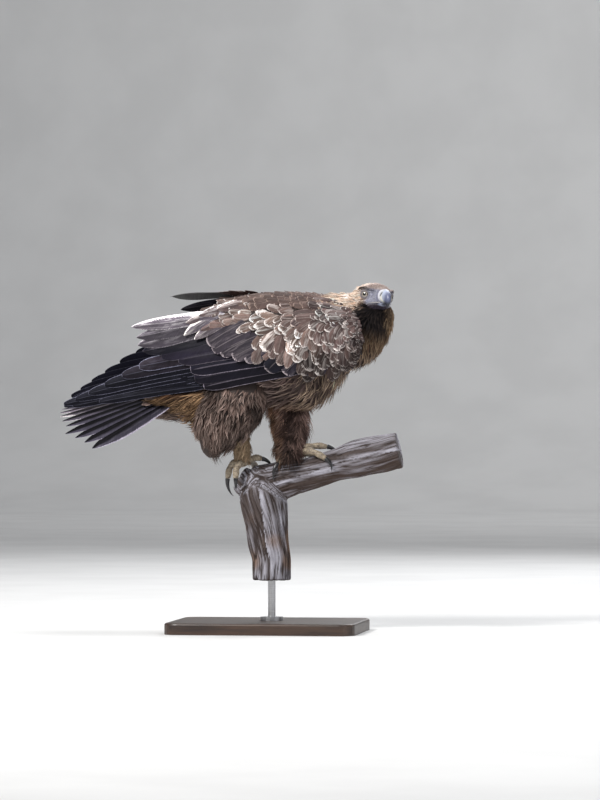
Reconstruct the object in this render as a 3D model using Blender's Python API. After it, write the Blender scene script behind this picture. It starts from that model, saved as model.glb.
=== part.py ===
"""Golden eagle, life size, on a cut length of dead branch held by a plain display stand.

Metres. X runs forward from tail to bill, Y to the bird's left, Z up. The origin is the middle of
the underside of the stand's base. The solids reach out to the tips of the feathers.
"""

import math

import bmesh
import bpy
import numpy as np
from mathutils import Vector

# Fit between neighbours
GAP = 0.0004  # air left between two pieces that touch
FOOT_GAP = 0.0008  # and between the trousers and the toes that come out of them

# Trunk, seen from the side: (x, top, underside, half width)
TRUNK = [
    (-0.262, 0.486, 0.458, 0.018),
    (-0.225, 0.545, 0.446, 0.045),
    (-0.180, 0.628, 0.440, 0.062),
    (-0.120, 0.684, 0.448, 0.076),
    (-0.050, 0.711, 0.468, 0.090),
    (0.020, 0.719, 0.470, 0.095),
    (0.090, 0.717, 0.464, 0.090),
    (0.140, 0.706, 0.503, 0.078),
    (0.172, 0.682, 0.548, 0.058),
]
TRUNK_RINGS = 12

# Neck, along its middle line: (x, y, z, to the nape, to the throat, half width)
NECK = [
    (0.080, 0.000, 0.618, 0.080, 0.090, 0.074),
    (0.140, 0.000, 0.628, 0.084, 0.088, 0.070),
    (0.186, 0.000, 0.648, 0.076, 0.084, 0.062),
    (0.214, 0.002, 0.678, 0.061, 0.062, 0.053),
    (0.222, 0.002, 0.700, 0.042, 0.045, 0.040),
]
NECK_RINGS = 8

# Head, in its own directions: forward along the bill, left, up, from the point midway between the eyes
HEAD_MIDDLE = Vector((0.2315, -0.020, 0.7038))
HEAD_TURN = math.radians(-59)  # turned from straight ahead to the bird's right
HEAD_ROLL = math.radians(7)  # its left side lower than its right
HEAD = [  # (forward, top, underside, half width)
    (-0.062, 0.008, -0.020, 0.014),
    (-0.052, 0.018, -0.031, 0.027),
    (-0.032, 0.0258, -0.035, 0.036),
    (-0.012, 0.0278, -0.035, 0.0365),
    (0.006, 0.0264, -0.033, 0.0345),
    (0.020, 0.0216, -0.0280, 0.0270),
    (0.030, 0.0164, -0.0238, 0.0185),
    (0.036, 0.0138, -0.0220, 0.0130),
]
HEAD_RINGS = 10
BROW_REACH = 0.0035  # how far the ridge over the eye stands out
BROW_UP = 0.010
BROW_FORWARD = 0.002

# Bill: (forward, up, above the middle line, below it, half width, turned down in degrees)
BILL_UPPER = [
    (0.0366, 0.0002, 0.0134, 0.0144, 0.0108, 0),
    (0.0470, -0.0006, 0.0136, 0.0138, 0.0101, 6),
    (0.0560, -0.0036, 0.0126, 0.0108, 0.0084, 24),
    (0.0624, -0.0112, 0.0094, 0.0074, 0.0063, 55),
    (0.0640, -0.0184, 0.0054, 0.0050, 0.0042, 84),
    (0.0624, -0.0256, 0.0014, 0.0014, 0.0014, 104),
]
BILL_LOWER = [
    (0.0366, -0.0182, 0.0032, 0.0034, 0.0092, 0),
    (0.0470, -0.0180, 0.0030, 0.0034, 0.0080, 0),
    (0.0540, -0.0176, 0.0024, 0.0028, 0.0054, 0),
]

# Eyes
EYE_RADIUS = 0.0145
EYE_ASIDE = 0.0220  # centre of the ball from the middle of the head
EYE_FORWARD = 0.0015

# Folded wing, seen from the side: (x, top edge, lower edge, y of top, y of widest, y of lower, thickness)
WING = [
    (0.211, 0.640, 0.606, 0.086, 0.092, 0.088, 0.010),
    (0.200, 0.664, 0.572, 0.070, 0.098, 0.090, 0.020),
    (0.180, 0.682, 0.549, 0.058, 0.104, 0.092, 0.026),
    (0.145, 0.698, 0.529, 0.050, 0.110, 0.096, 0.028),
    (0.082, 0.709, 0.516, 0.040, 0.118, 0.104, 0.028),
    (-0.003, 0.712, 0.508, 0.036, 0.122, 0.108, 0.027),
    (-0.060, 0.705, 0.504, 0.036, 0.118, 0.106, 0.024),
    (-0.105, 0.697, 0.502, 0.036, 0.112, 0.102, 0.021),
    (-0.140, 0.688, 0.518, 0.036, 0.106, 0.098, 0.018),
    (-0.204, 0.676, 0.560, 0.034, 0.092, 0.088, 0.014),
    (-0.250, 0.664, 0.583, 0.036, 0.078, 0.078, 0.010),
    (-0.286, 0.650, 0.604, 0.042, 0.062, 0.064, 0.006),
]
WING_RINGS = 16
FAR_WING_SHORTER = 0.062  # the left wing's inner feathers end this much further forward
FAR_WING_LIFT = 0.052  # and lie this much higher at their tips
FAR_WING_TUCK = 0.022  # and its wrist is drawn in this much

# Primaries: (x, upper edge, lower edge, y of the outside, thickness)
PRIMARIES = [
    (-0.090, 0.610, 0.522, 0.088, 0.014),
    (-0.150, 0.612, 0.508, 0.088, 0.013),
    (-0.240, 0.588, 0.503, 0.082, 0.011),
    (-0.300, 0.556, 0.496, 0.072, 0.010),
    (-0.346, 0.526, 0.487, 0.064, 0.008),
    (-0.400, 0.498, 0.477, 0.056, 0.006),
    (-0.434, 0.482, 0.470, 0.052, 0.004),
]
PRIMARIES_RINGS = 12
FAR_PRIMARIES_LIFT = 0.024
FAR_PRIMARIES_RISE = 0.022  # extra height of their upper edge half way out

# Tail fan
TAIL_ROOT = Vector((-0.150, 0.000, 0.527))
TAIL_LENGTH = 0.310
TAIL_PITCH = math.radians(13)  # down from level
TAIL_ROLL = math.radians(25)  # right edge lower than the left
TAIL_SPREAD = (math.radians(-24), math.radians(38))  # left edge, right edge, from the middle line
TAIL_FEATHERS = 12
TAIL_FEATHER_STEPS = 2
TAIL_THICK = (0.016, 0.0030)  # at the root, at the tips
TAIL_INNER = 0.020  # radius at which the fan starts
TAIL_ROUND = 0.085  # how much shorter the outermost feathers are, as a share of the length

# Trousers and shanks: (x, y, z, half length fore and aft, half width)
THIGH_RIGHT = [
    (-0.050, -0.066, 0.545, 0.034, 0.020),
    (-0.058, -0.070, 0.500, 0.066, 0.034),
    (-0.068, -0.068, 0.452, 0.074, 0.036),
    (-0.092, -0.060, 0.410, 0.056, 0.032),
    (-0.108, -0.052, 0.378, 0.034, 0.024),
    (-0.112, -0.050, 0.366, 0.018, 0.014),
]
THIGH_LEFT = [
    (0.030, 0.058, 0.540, 0.032, 0.020),
    (0.036, 0.052, 0.495, 0.046, 0.032),
    (0.041, 0.034, 0.440, 0.040, 0.034),
    (0.045, 0.010, 0.400, 0.034, 0.032),
    (0.044, -0.014, 0.380, 0.024, 0.024),
    (0.043, -0.032, 0.362, 0.013, 0.010),
]
SHANK_RIGHT = [
    (-0.058, -0.052, 0.440, 0.018, 0.016),
    (-0.052, -0.044, 0.405, 0.020, 0.018),
    (-0.050, -0.030, 0.378, 0.017, 0.016),
    (-0.050, -0.020, 0.366, 0.014, 0.014),
]
SHANK_LEFT = [
    (0.050, 0.016, 0.416, 0.015, 0.014),
    (0.056, 0.006, 0.396, 0.016, 0.015),
    (0.064, -0.002, 0.384, 0.014, 0.014),
]
LEG_RINGS = 9

# Toes: points along each, out from the ball of the foot to where the claw starts
TOE_ROOT = 0.0078
TOE_TIP = 0.0056
BALL_RIGHT = (-0.050, -0.020, 0.358)
TOES_RIGHT = {
    "middle": [(-0.038, -0.012, 0.362), (-0.024, -0.006, 0.366), (-0.012, -0.003, 0.364)],
    "outer": [(-0.056, -0.038, 0.352), (-0.060, -0.051, 0.338), (-0.060, -0.056, 0.322)],
    "inner": [(-0.040, 0.006, 0.359), (-0.034, 0.032, 0.350), (-0.030, 0.048, 0.334)],
    "hind": [(-0.066, -0.016, 0.356), (-0.080, -0.012, 0.342), (-0.084, -0.010, 0.322)],
}
BALL_LEFT = (0.067, -0.004, 0.375)
TOES_LEFT = {
    "middle": [(0.090, -0.018, 0.380), (0.112, -0.029, 0.373), (0.128, -0.037, 0.364)],
    "outer": [(0.082, 0.020, 0.376), (0.092, 0.036, 0.360), (0.098, 0.044, 0.342)],
    "inner": [(0.084, 0.002, 0.388), (0.106, 0.008, 0.391), (0.124, 0.012, 0.389)],
    "hind": [(0.050, -0.012, 0.373), (0.036, -0.024, 0.367), (0.026, -0.034, 0.355)],
}
TOE_STEPS = 6
CLAW_LENGTH = {"middle": 0.032, "outer": 0.026, "inner": 0.036, "hind": 0.042}
CLAW_ROOT = 0.0048
CLAW_CURL = math.radians(70)

# Perch: (x, y, z, radius) along the limb and down the upright
LIMB = [
    (-0.060, 0.000, 0.324, 0.027),
    (-0.036, 0.000, 0.311, 0.037),
    (0.000, 0.000, 0.312, 0.043),
    (0.040, 0.000, 0.321, 0.041),
    (0.083, 0.000, 0.331, 0.036),
    (0.140, 0.000, 0.350, 0.035),
    (0.195, 0.000, 0.365, 0.041),
    (0.278, 0.000, 0.382, 0.039),
]
UPRIGHT = [
    (-0.014, 0.000, 0.318, 0.040),
    (-0.010, 0.000, 0.285, 0.052),
    (-0.004, 0.000, 0.240, 0.048),
    (0.001, 0.000, 0.190, 0.044),
    (0.008, 0.000, 0.148, 0.041),
    (0.008, 0.000, 0.110, 0.041),
]
PERCH_RINGS = 12

# Stand
BASE_LENGTH = 0.400
BASE_DEPTH = 0.300
BASE_HEIGHT = 0.024
BASE_CORNER = 0.030
BASE_EDGE = 0.004
ROD_RADIUS = 0.008
ROD_FOOT = (0.008, 0.000)  # where the rod meets the base
COLLAR_RADIUS = 0.024
COLLAR_HEIGHT = 0.008

# Colours (linear) and roughness
BROWN = ((0.105, 0.070, 0.055), 0.75)
DARK_BROWN = ((0.020, 0.016, 0.018), 0.60)
GOLD = ((0.500, 0.330, 0.190), 0.75)
TAWNY = ((0.190, 0.115, 0.070), 0.80)
TOE_YELLOW = ((0.420, 0.330, 0.180), 0.55)
HORN_BLUE = ((0.160, 0.180, 0.260), 0.35)
CLAW_BLACK = ((0.012, 0.012, 0.014), 0.30)
EYE_AMBER = ((0.220, 0.130, 0.060), 0.10)
DEAD_WOOD = ((0.260, 0.235, 0.220), 0.85)
BASE_WOOD = ((0.030, 0.020, 0.016), 0.45)
ROD_STEEL = ((0.350, 0.350, 0.360), 0.30)


def clear_scene():
    for thing in list(bpy.data.objects):
        bpy.data.objects.remove(thing, do_unlink=True)


def paint(thing, look, metallic=0.0):
    colour, roughness = look
    material = bpy.data.materials.new(thing.name + "_finish")
    material.use_nodes = True
    shader = material.node_tree.nodes["Principled BSDF"]
    shader.inputs["Base Color"].default_value = (*colour, 1.0)
    shader.inputs["Roughness"].default_value = roughness
    shader.inputs["Metallic"].default_value = metallic
    thing.data.materials.clear()
    thing.data.materials.append(material)


def smooth_rows(rows, count):
    """Rows at even steps along a smooth curve through the given rows (monotone cubic in each column)."""
    rows = np.asarray(rows, dtype=float)
    knots = np.arange(len(rows), dtype=float)
    slope = np.diff(rows, axis=0)
    tangent = np.zeros_like(rows)
    tangent[0], tangent[-1] = slope[0], slope[-1]
    before, after = slope[:-1], slope[1:]
    same_way = before * after > 0
    total = np.where(same_way, before + after, 1.0)
    tangent[1:-1] = np.where(same_way, 2.0 * before * after / total, 0.0)
    at = np.linspace(0.0, knots[-1], count)
    left = np.minimum(at.astype(int), len(rows) - 2)
    t = (at - left)[:, None]
    start, end = rows[left], rows[left + 1]
    return (
        start * (2 * t**3 - 3 * t**2 + 1)
        + tangent[left] * (t**3 - 2 * t**2 + t)
        + end * (3 * t**2 - 2 * t**3)
        + tangent[left + 1] * (t**3 - t**2)
    )


def half_power(value, power):
    return math.copysign(abs(value) ** power, value)


def ring(middle, side, up, half_width, above, below, corners, squareness=2.0):
    """A closed loop round the middle, taller above it than below where the two heights differ."""
    points = []
    for i in range(corners):
        angle = 2.0 * math.pi * i / corners
        across = half_power(math.cos(angle), 2.0 / squareness)
        rise = half_power(math.sin(angle), 2.0 / squareness)
        height = above if rise > 0 else below
        points.append(middle + side * (across * half_width) + up * (rise * height))
    return points


def mesh_object(name, bm):
    bmesh.ops.recalc_face_normals(bm, faces=bm.faces)
    mesh = bpy.data.meshes.new(name)
    bm.to_mesh(mesh)
    bm.free()
    thing = bpy.data.objects.new(name, mesh)
    bpy.context.scene.collection.objects.link(thing)
    mesh.shade_smooth()
    mesh.set_sharp_from_angle(angle=math.radians(50))
    return thing


def loft(name, rings):
    """A closed skin over loops of equal length, capped by a fan at each end."""
    bm = bmesh.new()
    loops = [[bm.verts.new(point) for point in one] for one in rings]
    count = len(loops[0])
    for first, second in zip(loops, loops[1:]):
        for i in range(count):
            j = (i + 1) % count
            bm.faces.new((first[i], first[j], second[j], second[i]))
    for loop in (loops[0], loops[-1]):
        middle = sum((vert.co for vert in loop), Vector()) / count
        pole = bm.verts.new(middle)
        for i in range(count):
            bm.faces.new((loop[i], loop[(i + 1) % count], pole))
    bmesh.ops.triangulate(bm, faces=bm.faces)
    return mesh_object(name, bm)


def along(points, i):
    """The direction of travel at point i of a path."""
    before = points[max(i - 1, 0)]
    after = points[min(i + 1, len(points) - 1)]
    return (after - before).normalized()


def connected_pieces(bm):
    """The mesh's vertices, as one set for each connected piece."""
    pieces = []
    left = set(bm.verts)
    while left:
        stack = [left.pop()]
        piece = set(stack)
        while stack:
            for edge in stack.pop().link_edges:
                for vert in edge.verts:
                    if vert in left:
                        left.discard(vert)
                        piece.add(vert)
                        stack.append(vert)
        pieces.append(piece)
    return pieces


def enclosed_volume(piece):
    faces = {face for vert in piece for face in vert.link_faces}
    total = 0.0
    for face in faces:
        a, b, c = (vert.co for vert in face.verts)
        total += a.dot(b.cross(c)) / 6.0
    return abs(total)


def settle(thing):
    """Applies the modifiers and keeps the largest connected piece."""
    graph = bpy.context.evaluated_depsgraph_get()
    mesh = bpy.data.meshes.new_from_object(thing.evaluated_get(graph))
    thing.modifiers.clear()
    old = thing.data
    thing.data = mesh
    bpy.data.meshes.remove(old)
    bm = bmesh.new()
    bm.from_mesh(mesh)
    bmesh.ops.triangulate(bm, faces=bm.faces)
    pieces = sorted(connected_pieces(bm), key=enclosed_volume)
    for piece in pieces[:-1]:
        bmesh.ops.delete(bm, geom=list(piece), context="VERTS")
    bm.to_mesh(mesh)
    bm.free()


def combine(thing, other, operation):
    modifier = thing.modifiers.new(operation.lower(), "BOOLEAN")
    modifier.operation = operation
    modifier.solver = "EXACT"
    modifier.use_self = True
    modifier.object = other
    settle(thing)


def grow(mesh, gap):
    """Moves every face outwards by the gap, further at the corners."""
    bm = bmesh.new()
    bm.from_mesh(mesh)
    bm.normal_update()
    steps = [vert.normal * (gap * min(vert.calc_shell_factor(), 3.0)) for vert in bm.verts]
    for vert, step in zip(bm.verts, steps):
        vert.co += step
    bm.to_mesh(mesh)
    bm.free()


def carve(thing, neighbours, gap=GAP):
    """Cuts each neighbour, grown by the gap, out of a piece."""
    for neighbour in neighbours:
        cutter = neighbour.copy()
        cutter.data = neighbour.data.copy()
        bpy.context.scene.collection.objects.link(cutter)
        grow(cutter.data, gap)
        cutter.display_type = "WIRE"
        cutter.hide_render = True
        combine(thing, cutter, "DIFFERENCE")
        bpy.data.objects.remove(cutter, do_unlink=True)


def make_trunk():
    rings = []
    for x, top, under, half in smooth_rows(TRUNK, TRUNK_RINGS):
        widest = under + 0.55 * (top - under)
        middle = Vector((x, 0.0, widest))
        rings.append(
            ring(middle, Vector((0, 1, 0)), Vector((0, 0, 1)), half, top - widest, widest - under, 18, 2.2)
        )
    trunk = loft("trunk", rings)
    paint(trunk, BROWN)
    return trunk


def make_neck():
    rows = smooth_rows(NECK, NECK_RINGS)
    points = [Vector(row[:3]) for row in rows]
    rings = []
    for i, row in enumerate(rows):
        forward = along(points, i)
        side = Vector((0, 1, 0)).cross(forward).cross(forward).normalized() * -1.0
        up = forward.cross(side).normalized()
        if up.z < 0:
            up = -up
        rings.append(ring(points[i], side, up, row[5], row[3], row[4], 18))
    neck = loft("neck", rings)
    paint(neck, GOLD)
    return neck


def head_axes():
    ahead = Vector((math.cos(HEAD_TURN), math.sin(HEAD_TURN), 0.0))
    level = Vector((-math.sin(HEAD_TURN), math.cos(HEAD_TURN), 0.0))
    aside = level * math.cos(HEAD_ROLL) - Vector((0.0, 0.0, math.sin(HEAD_ROLL)))
    return ahead, aside, ahead.cross(aside)


def head_point(forward, left, up):
    ahead, aside, rise = head_axes()
    return HEAD_MIDDLE + ahead * forward + aside * left + rise * up


def make_head():
    ahead, aside, up = head_axes()
    rings = []
    for forward, top, under, half in smooth_rows(HEAD, HEAD_RINGS):
        middle = 0.45 * top + 0.55 * under
        loop = ring(head_point(forward, 0, middle), aside, up, half, top - middle, middle - under, 20, 2.3)
        near_brow = math.exp(-(((forward - BROW_FORWARD) / 0.012) ** 2))
        for point in loop:
            rise = math.exp(-((((point - HEAD_MIDDLE).dot(up) - BROW_UP) / 0.005) ** 2))
            across = (point - head_point(forward, 0, 0)).dot(aside)
            point += aside * math.copysign(BROW_REACH * near_brow * rise, across)
        rings.append(loop)
    head = loft("head", rings)
    paint(head, GOLD)
    return head


def make_bill(name, rows):
    ahead, aside, straight_up = head_axes()
    rings = []
    for forward, up, above, below, half, turned in smooth_rows(rows, 3 * len(rows) - 2):
        angle = math.radians(turned)
        rise = straight_up * math.cos(angle) + ahead * math.sin(angle)
        rings.append(ring(head_point(forward, 0, up), aside, rise, half, above, below, 12))
    bill = loft(name, rings)
    paint(bill, HORN_BLUE)
    return bill


def make_eye(name, sign):
    bm = bmesh.new()
    bmesh.ops.create_uvsphere(bm, u_segments=12, v_segments=8, radius=EYE_RADIUS)
    centre = head_point(EYE_FORWARD, sign * EYE_ASIDE, 0)
    bmesh.ops.translate(bm, verts=bm.verts, vec=centre)
    eye = mesh_object(name, bm)
    paint(eye, EYE_AMBER)
    return eye


def make_wing(name, sign):
    """A curved slab: down its outside from the top edge, then back up its inside."""
    corners = 8
    rows = smooth_rows(WING, WING_RINGS)
    rear_x = WING[-1][0]
    rings = []
    for x, top, lower, y_top, y_wide, y_low, thick in rows:
        if sign > 0:
            back = max(0.0, x / rear_x)
            front = max(0.0, x / WING[0][0])
            x = x + FAR_WING_SHORTER * back - FAR_WING_TUCK * front**2
            top = top + FAR_WING_LIFT * back
            lower = lower + FAR_WING_LIFT * back * 0.5
        outside, inside = [], []
        for i in range(corners):
            t = i / (corners - 1)
            y = (1 - t) ** 2 * y_top + t**2 * y_low + 2 * t * (1 - t) * (2 * y_wide - 0.5 * (y_top + y_low))
            z = top + (lower - top) * t
            depth = thick * (0.25 + 0.75 * math.sin(math.pi * min(max(t, 0.06), 0.94)))
            outside.append(Vector((x, sign * y, z)))
            inside.append(Vector((x, sign * (y - depth), z)))
        rings.append(outside + inside[::-1])
    wing = loft(name, rings)
    paint(wing, BROWN)
    return wing


def make_primaries(name, sign):
    corners = 6
    rings = []
    for x, upper, lower, y, thick in smooth_rows(PRIMARIES, PRIMARIES_RINGS):
        if sign > 0:
            reach = (x - PRIMARIES[0][0]) / (PRIMARIES[-1][0] - PRIMARIES[0][0])
            upper += FAR_PRIMARIES_LIFT * reach + FAR_PRIMARIES_RISE * math.sin(math.pi * reach)
            lower += FAR_PRIMARIES_LIFT * reach
        outside, inside = [], []
        for i in range(corners):
            t = i / (corners - 1)
            bow = 0.006 * math.sin(math.pi * t)
            depth = thick * (0.45 + 0.55 * math.sin(math.pi * t))
            z = upper + (lower - upper) * t
            outside.append(Vector((x, sign * (y + bow), z)))
            inside.append(Vector((x, sign * (y + bow - depth), z)))
        rings.append(outside + inside[::-1])
    feathers = loft(name, rings)
    paint(feathers, DARK_BROWN)
    return feathers


def make_tail():
    """A fan of feathers as one slab: each ring runs out along the top and back along the underside."""
    back = Vector((-math.cos(TAIL_PITCH), 0, -math.sin(TAIL_PITCH)))
    rise = Vector((-math.sin(TAIL_PITCH), 0, math.cos(TAIL_PITCH)))
    right = Vector((0, -math.cos(TAIL_ROLL), 0)) - rise * math.sin(TAIL_ROLL)
    normal = back.cross(right).normalized()
    if normal.z < 0:
        normal = -normal
    left_edge, right_edge = TAIL_SPREAD
    steps = TAIL_FEATHERS * TAIL_FEATHER_STEPS
    rings = []
    for i in range(steps + 1):
        share = i / steps
        angle = left_edge + (right_edge - left_edge) * share
        outward = abs(2 * share - 1)
        notch = 0.022 * abs(math.sin(math.pi * share * TAIL_FEATHERS + math.pi / 2)) ** 3
        reach = TAIL_LENGTH * (1 - TAIL_ROUND * outward**2) - notch
        way = back * math.cos(angle) + right * math.sin(angle)
        top, under = [], []
        for k in range(4):
            t = k / 3
            radius = TAIL_INNER + (reach - TAIL_INNER) * t
            half = 0.5 * (TAIL_THICK[0] + (TAIL_THICK[1] - TAIL_THICK[0]) * t**0.5)
            middle = TAIL_ROOT + way * radius - normal * (0.10 * radius * outward**2)
            top.append(middle + normal * half)
            under.append(middle - normal * half)
        rings.append(top + under[::-1])
    tail = loft("tail", rings)
    paint(tail, DARK_BROWN)
    return tail


def make_limb_section(name, rows, look, corners=14):
    rings = []
    for x, y, z, fore, half in smooth_rows(rows, LEG_RINGS):
        rings.append(
            ring(Vector((x, y, z)), Vector((1, 0, 0)), Vector((0, 1, 0)), fore, half, half, corners)
        )
    piece = loft(name, rings)
    paint(piece, look)
    return piece


def tube(name, points, radii, corners):
    side = None
    rings = []
    for i, point in enumerate(points):
        forward = along(points, i)
        if side is None:
            side = forward.orthogonal().normalized()
        side = (side - forward * side.dot(forward)).normalized()
        rings.append(ring(point, side, forward.cross(side), radii[i], radii[i], radii[i], corners))
    return loft(name, rings)


def make_foot(name, ball, toes):
    """Four toes joined at the ball of the foot."""
    foot = None
    radii = np.linspace(TOE_ROOT, TOE_TIP, TOE_STEPS)
    for points in toes.values():
        path = [Vector(row) for row in smooth_rows([ball, *points], TOE_STEPS)]
        toe = tube(name, path, radii, 6)
        if foot is None:
            foot = toe
        else:
            combine(foot, toe, "UNION")
            bpy.data.objects.remove(toe, do_unlink=True)
    foot.name = name
    paint(foot, TOE_YELLOW)
    return foot


def make_claw(name, toe, length):
    """A tapering horn that turns down from the toe's end by the angle of its curl."""
    end = Vector(toe[-1])
    ahead = (end - Vector(toe[-2])).normalized()
    down = (Vector((0, 0, -1)) + ahead * ahead.z).normalized()
    steps = 6
    points = [end + ahead * (TOE_TIP * 0.4)]
    for i in range(1, steps):
        angle = CLAW_CURL * (i - 0.5) / (steps - 1)
        way = ahead * math.cos(angle) + down * math.sin(angle)
        points.append(points[-1] + way * (length / (steps - 1)))
    radii = [CLAW_ROOT * (1 - 0.86 * i / (steps - 1)) for i in range(steps)]
    claw = tube(name, points, radii, 6)
    paint(claw, CLAW_BLACK)
    return claw


def make_perch():
    limb = smooth_rows(LIMB, PERCH_RINGS)
    upright = smooth_rows(UPRIGHT, PERCH_RINGS - 3)
    perch = tube("perch", [Vector(row[:3]) for row in limb], limb[:, 3], 16)
    post = tube("post", [Vector(row[:3]) for row in upright], upright[:, 3], 16)
    combine(perch, post, "UNION")
    bpy.data.objects.remove(post, do_unlink=True)
    paint(perch, DEAD_WOOD)
    return perch


def make_stand():
    bm = bmesh.new()
    bmesh.ops.create_cube(bm, size=1.0)
    bmesh.ops.scale(bm, vec=(BASE_LENGTH, BASE_DEPTH, BASE_HEIGHT), verts=bm.verts)
    bmesh.ops.translate(bm, vec=(0, 0, BASE_HEIGHT / 2), verts=bm.verts)
    upright = [e for e in bm.edges if abs(e.verts[0].co.z - e.verts[1].co.z) > BASE_HEIGHT / 2]
    bmesh.ops.bevel(bm, geom=upright, offset=BASE_CORNER, segments=6, profile=0.5, affect="EDGES")
    rim = [e for e in bm.edges if min(v.co.z for v in e.verts) > BASE_HEIGHT - 1e-5]
    bmesh.ops.bevel(bm, geom=rim, offset=BASE_EDGE, segments=2, profile=0.5, affect="EDGES")
    bmesh.ops.triangulate(bm, faces=bm.faces)
    base = mesh_object("stand_base", bm)
    paint(base, BASE_WOOD)

    perch_end = UPRIGHT[-1][2]
    x, y = ROD_FOOT
    low, high = BASE_HEIGHT + GAP, perch_end - GAP
    levels = [low, low + COLLAR_HEIGHT, low + COLLAR_HEIGHT, (low + high) / 2, high]
    radii = [COLLAR_RADIUS, COLLAR_RADIUS, ROD_RADIUS, ROD_RADIUS, ROD_RADIUS]
    rings = []
    for z, radius in zip(levels, radii):
        middle = Vector((x, y, z))
        rings.append(ring(middle, Vector((1, 0, 0)), Vector((0, 1, 0)), radius, radius, radius, 16))
    rod = loft("stand_rod", rings)
    paint(rod, ROD_STEEL, 1.0)


def main():
    clear_scene()
    perch = make_perch()
    make_stand()

    foot_right = make_foot("foot_right", BALL_RIGHT, TOES_RIGHT)
    foot_left = make_foot("foot_left", BALL_LEFT, TOES_LEFT)
    for foot in (foot_right, foot_left):
        carve(foot, [perch])
    claws = []
    for side, toes, foot in (("right", TOES_RIGHT, foot_right), ("left", TOES_LEFT, foot_left)):
        for toe, points in toes.items():
            claw = make_claw(f"claw_{side}_{toe}", points, CLAW_LENGTH[toe])
            carve(claw, [foot, perch])
            claws.append(claw)

    eyes = [make_eye("eye_right", -1), make_eye("eye_left", 1)]
    bill_upper = make_bill("bill_upper", BILL_UPPER)
    bill_lower = make_bill("bill_lower", BILL_LOWER)
    carve(bill_lower, [bill_upper])
    head = make_head()
    carve(head, [*eyes, bill_upper, bill_lower])

    shanks = [
        make_limb_section("shank_right", SHANK_RIGHT, TAWNY, 10),
        make_limb_section("shank_left", SHANK_LEFT, TAWNY, 10),
    ]
    carve(shanks[0], [foot_right, perch])
    carve(shanks[1], [foot_left, perch])

    wings = [make_wing("wing_right", -1), make_wing("wing_left", 1)]
    tail = make_tail()
    primaries = [make_primaries("primaries_right", -1), make_primaries("primaries_left", 1)]
    for feathers, wing in zip(primaries, wings):
        carve(feathers, [wing, tail])

    trunk = make_trunk()
    carve(trunk, [*wings, *primaries, tail])
    neck = make_neck()
    carve(neck, [head, trunk, *wings])

    thigh_right = make_limb_section("thigh_right", THIGH_RIGHT, BROWN)
    thigh_left = make_limb_section("thigh_left", THIGH_LEFT, BROWN)
    carve(thigh_right, [trunk, wings[0], primaries[0], tail, shanks[0], perch])
    carve(thigh_left, [trunk, wings[1], shanks[1], perch])
    carve(thigh_left, [foot_left, *claws[4:]], FOOT_GAP)


main()
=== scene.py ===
import math

import bmesh
import bpy
import numpy as np
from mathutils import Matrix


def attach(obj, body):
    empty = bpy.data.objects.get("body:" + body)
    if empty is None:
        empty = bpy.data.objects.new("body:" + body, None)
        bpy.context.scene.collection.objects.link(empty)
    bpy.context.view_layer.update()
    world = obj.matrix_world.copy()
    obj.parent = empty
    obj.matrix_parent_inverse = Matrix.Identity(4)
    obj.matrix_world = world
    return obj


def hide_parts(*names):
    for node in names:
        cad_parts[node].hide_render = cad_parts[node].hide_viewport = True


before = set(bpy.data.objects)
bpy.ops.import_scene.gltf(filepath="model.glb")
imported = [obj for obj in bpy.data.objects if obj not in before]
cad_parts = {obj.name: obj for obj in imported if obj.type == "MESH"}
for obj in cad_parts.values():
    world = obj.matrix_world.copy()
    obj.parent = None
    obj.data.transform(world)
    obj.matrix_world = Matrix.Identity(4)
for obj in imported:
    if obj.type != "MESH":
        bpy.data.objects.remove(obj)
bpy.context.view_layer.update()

# Golden eagle on a cut branch, life size, metres. X forward, Y to the bird's left, Z up.
print("frame loaded:", len(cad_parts), "nodes")


def tint(red, green, blue):
    # a colour from 0 to 255, as the linear values that shaders read
    c = np.array([red, green, blue]) / 255.0
    return np.where(c <= 0.04045, c / 12.92, ((c + 0.055) / 1.055) ** 2.4)


def unit(vectors):
    return vectors / np.maximum(np.linalg.norm(vectors, axis=-1, keepdims=True), 1e-9)


def dot(a, b):
    return np.sum(a * b, axis=-1, keepdims=True)


def ease(value, low, high):
    # 0 below low, 1 above high, 3t^2 - 2t^3 between them
    t = np.clip((value - low) / (high - low), 0.0, 1.0)
    return t * t * (3.0 - 2.0 * t)


def hump(value, middle, reach):
    # 1 at the middle, falling away as exp(-d^2)
    return np.exp(-(((value - middle) / reach) ** 2))


def mix(a, b, share):
    return a + (b - a) * share


def smoothRows(rows, count):
    # monotone cubic through the rows, a column at a time, read at even steps
    rows = np.asarray(rows, dtype=float)
    slope = np.diff(rows, axis=0)
    tangent = np.zeros_like(rows)
    tangent[0], tangent[-1] = slope[0], slope[-1]
    before, after = slope[:-1], slope[1:]
    sameWay = before * after > 0
    total = np.where(sameWay, before + after, 1.0)
    tangent[1:-1] = np.where(sameWay, 2.0 * before * after / total, 0.0)
    at = np.linspace(0.0, len(rows) - 1.0, count)
    left = np.minimum(at.astype(int), len(rows) - 2)
    t = (at - left)[:, None]
    return (rows[left] * (2 * t**3 - 3 * t**2 + 1) + tangent[left] * (t**3 - 2 * t**2 + t)
            + rows[left + 1] * (3 * t**2 - 2 * t**3) + tangent[left + 1] * (t**3 - t**2))


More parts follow.
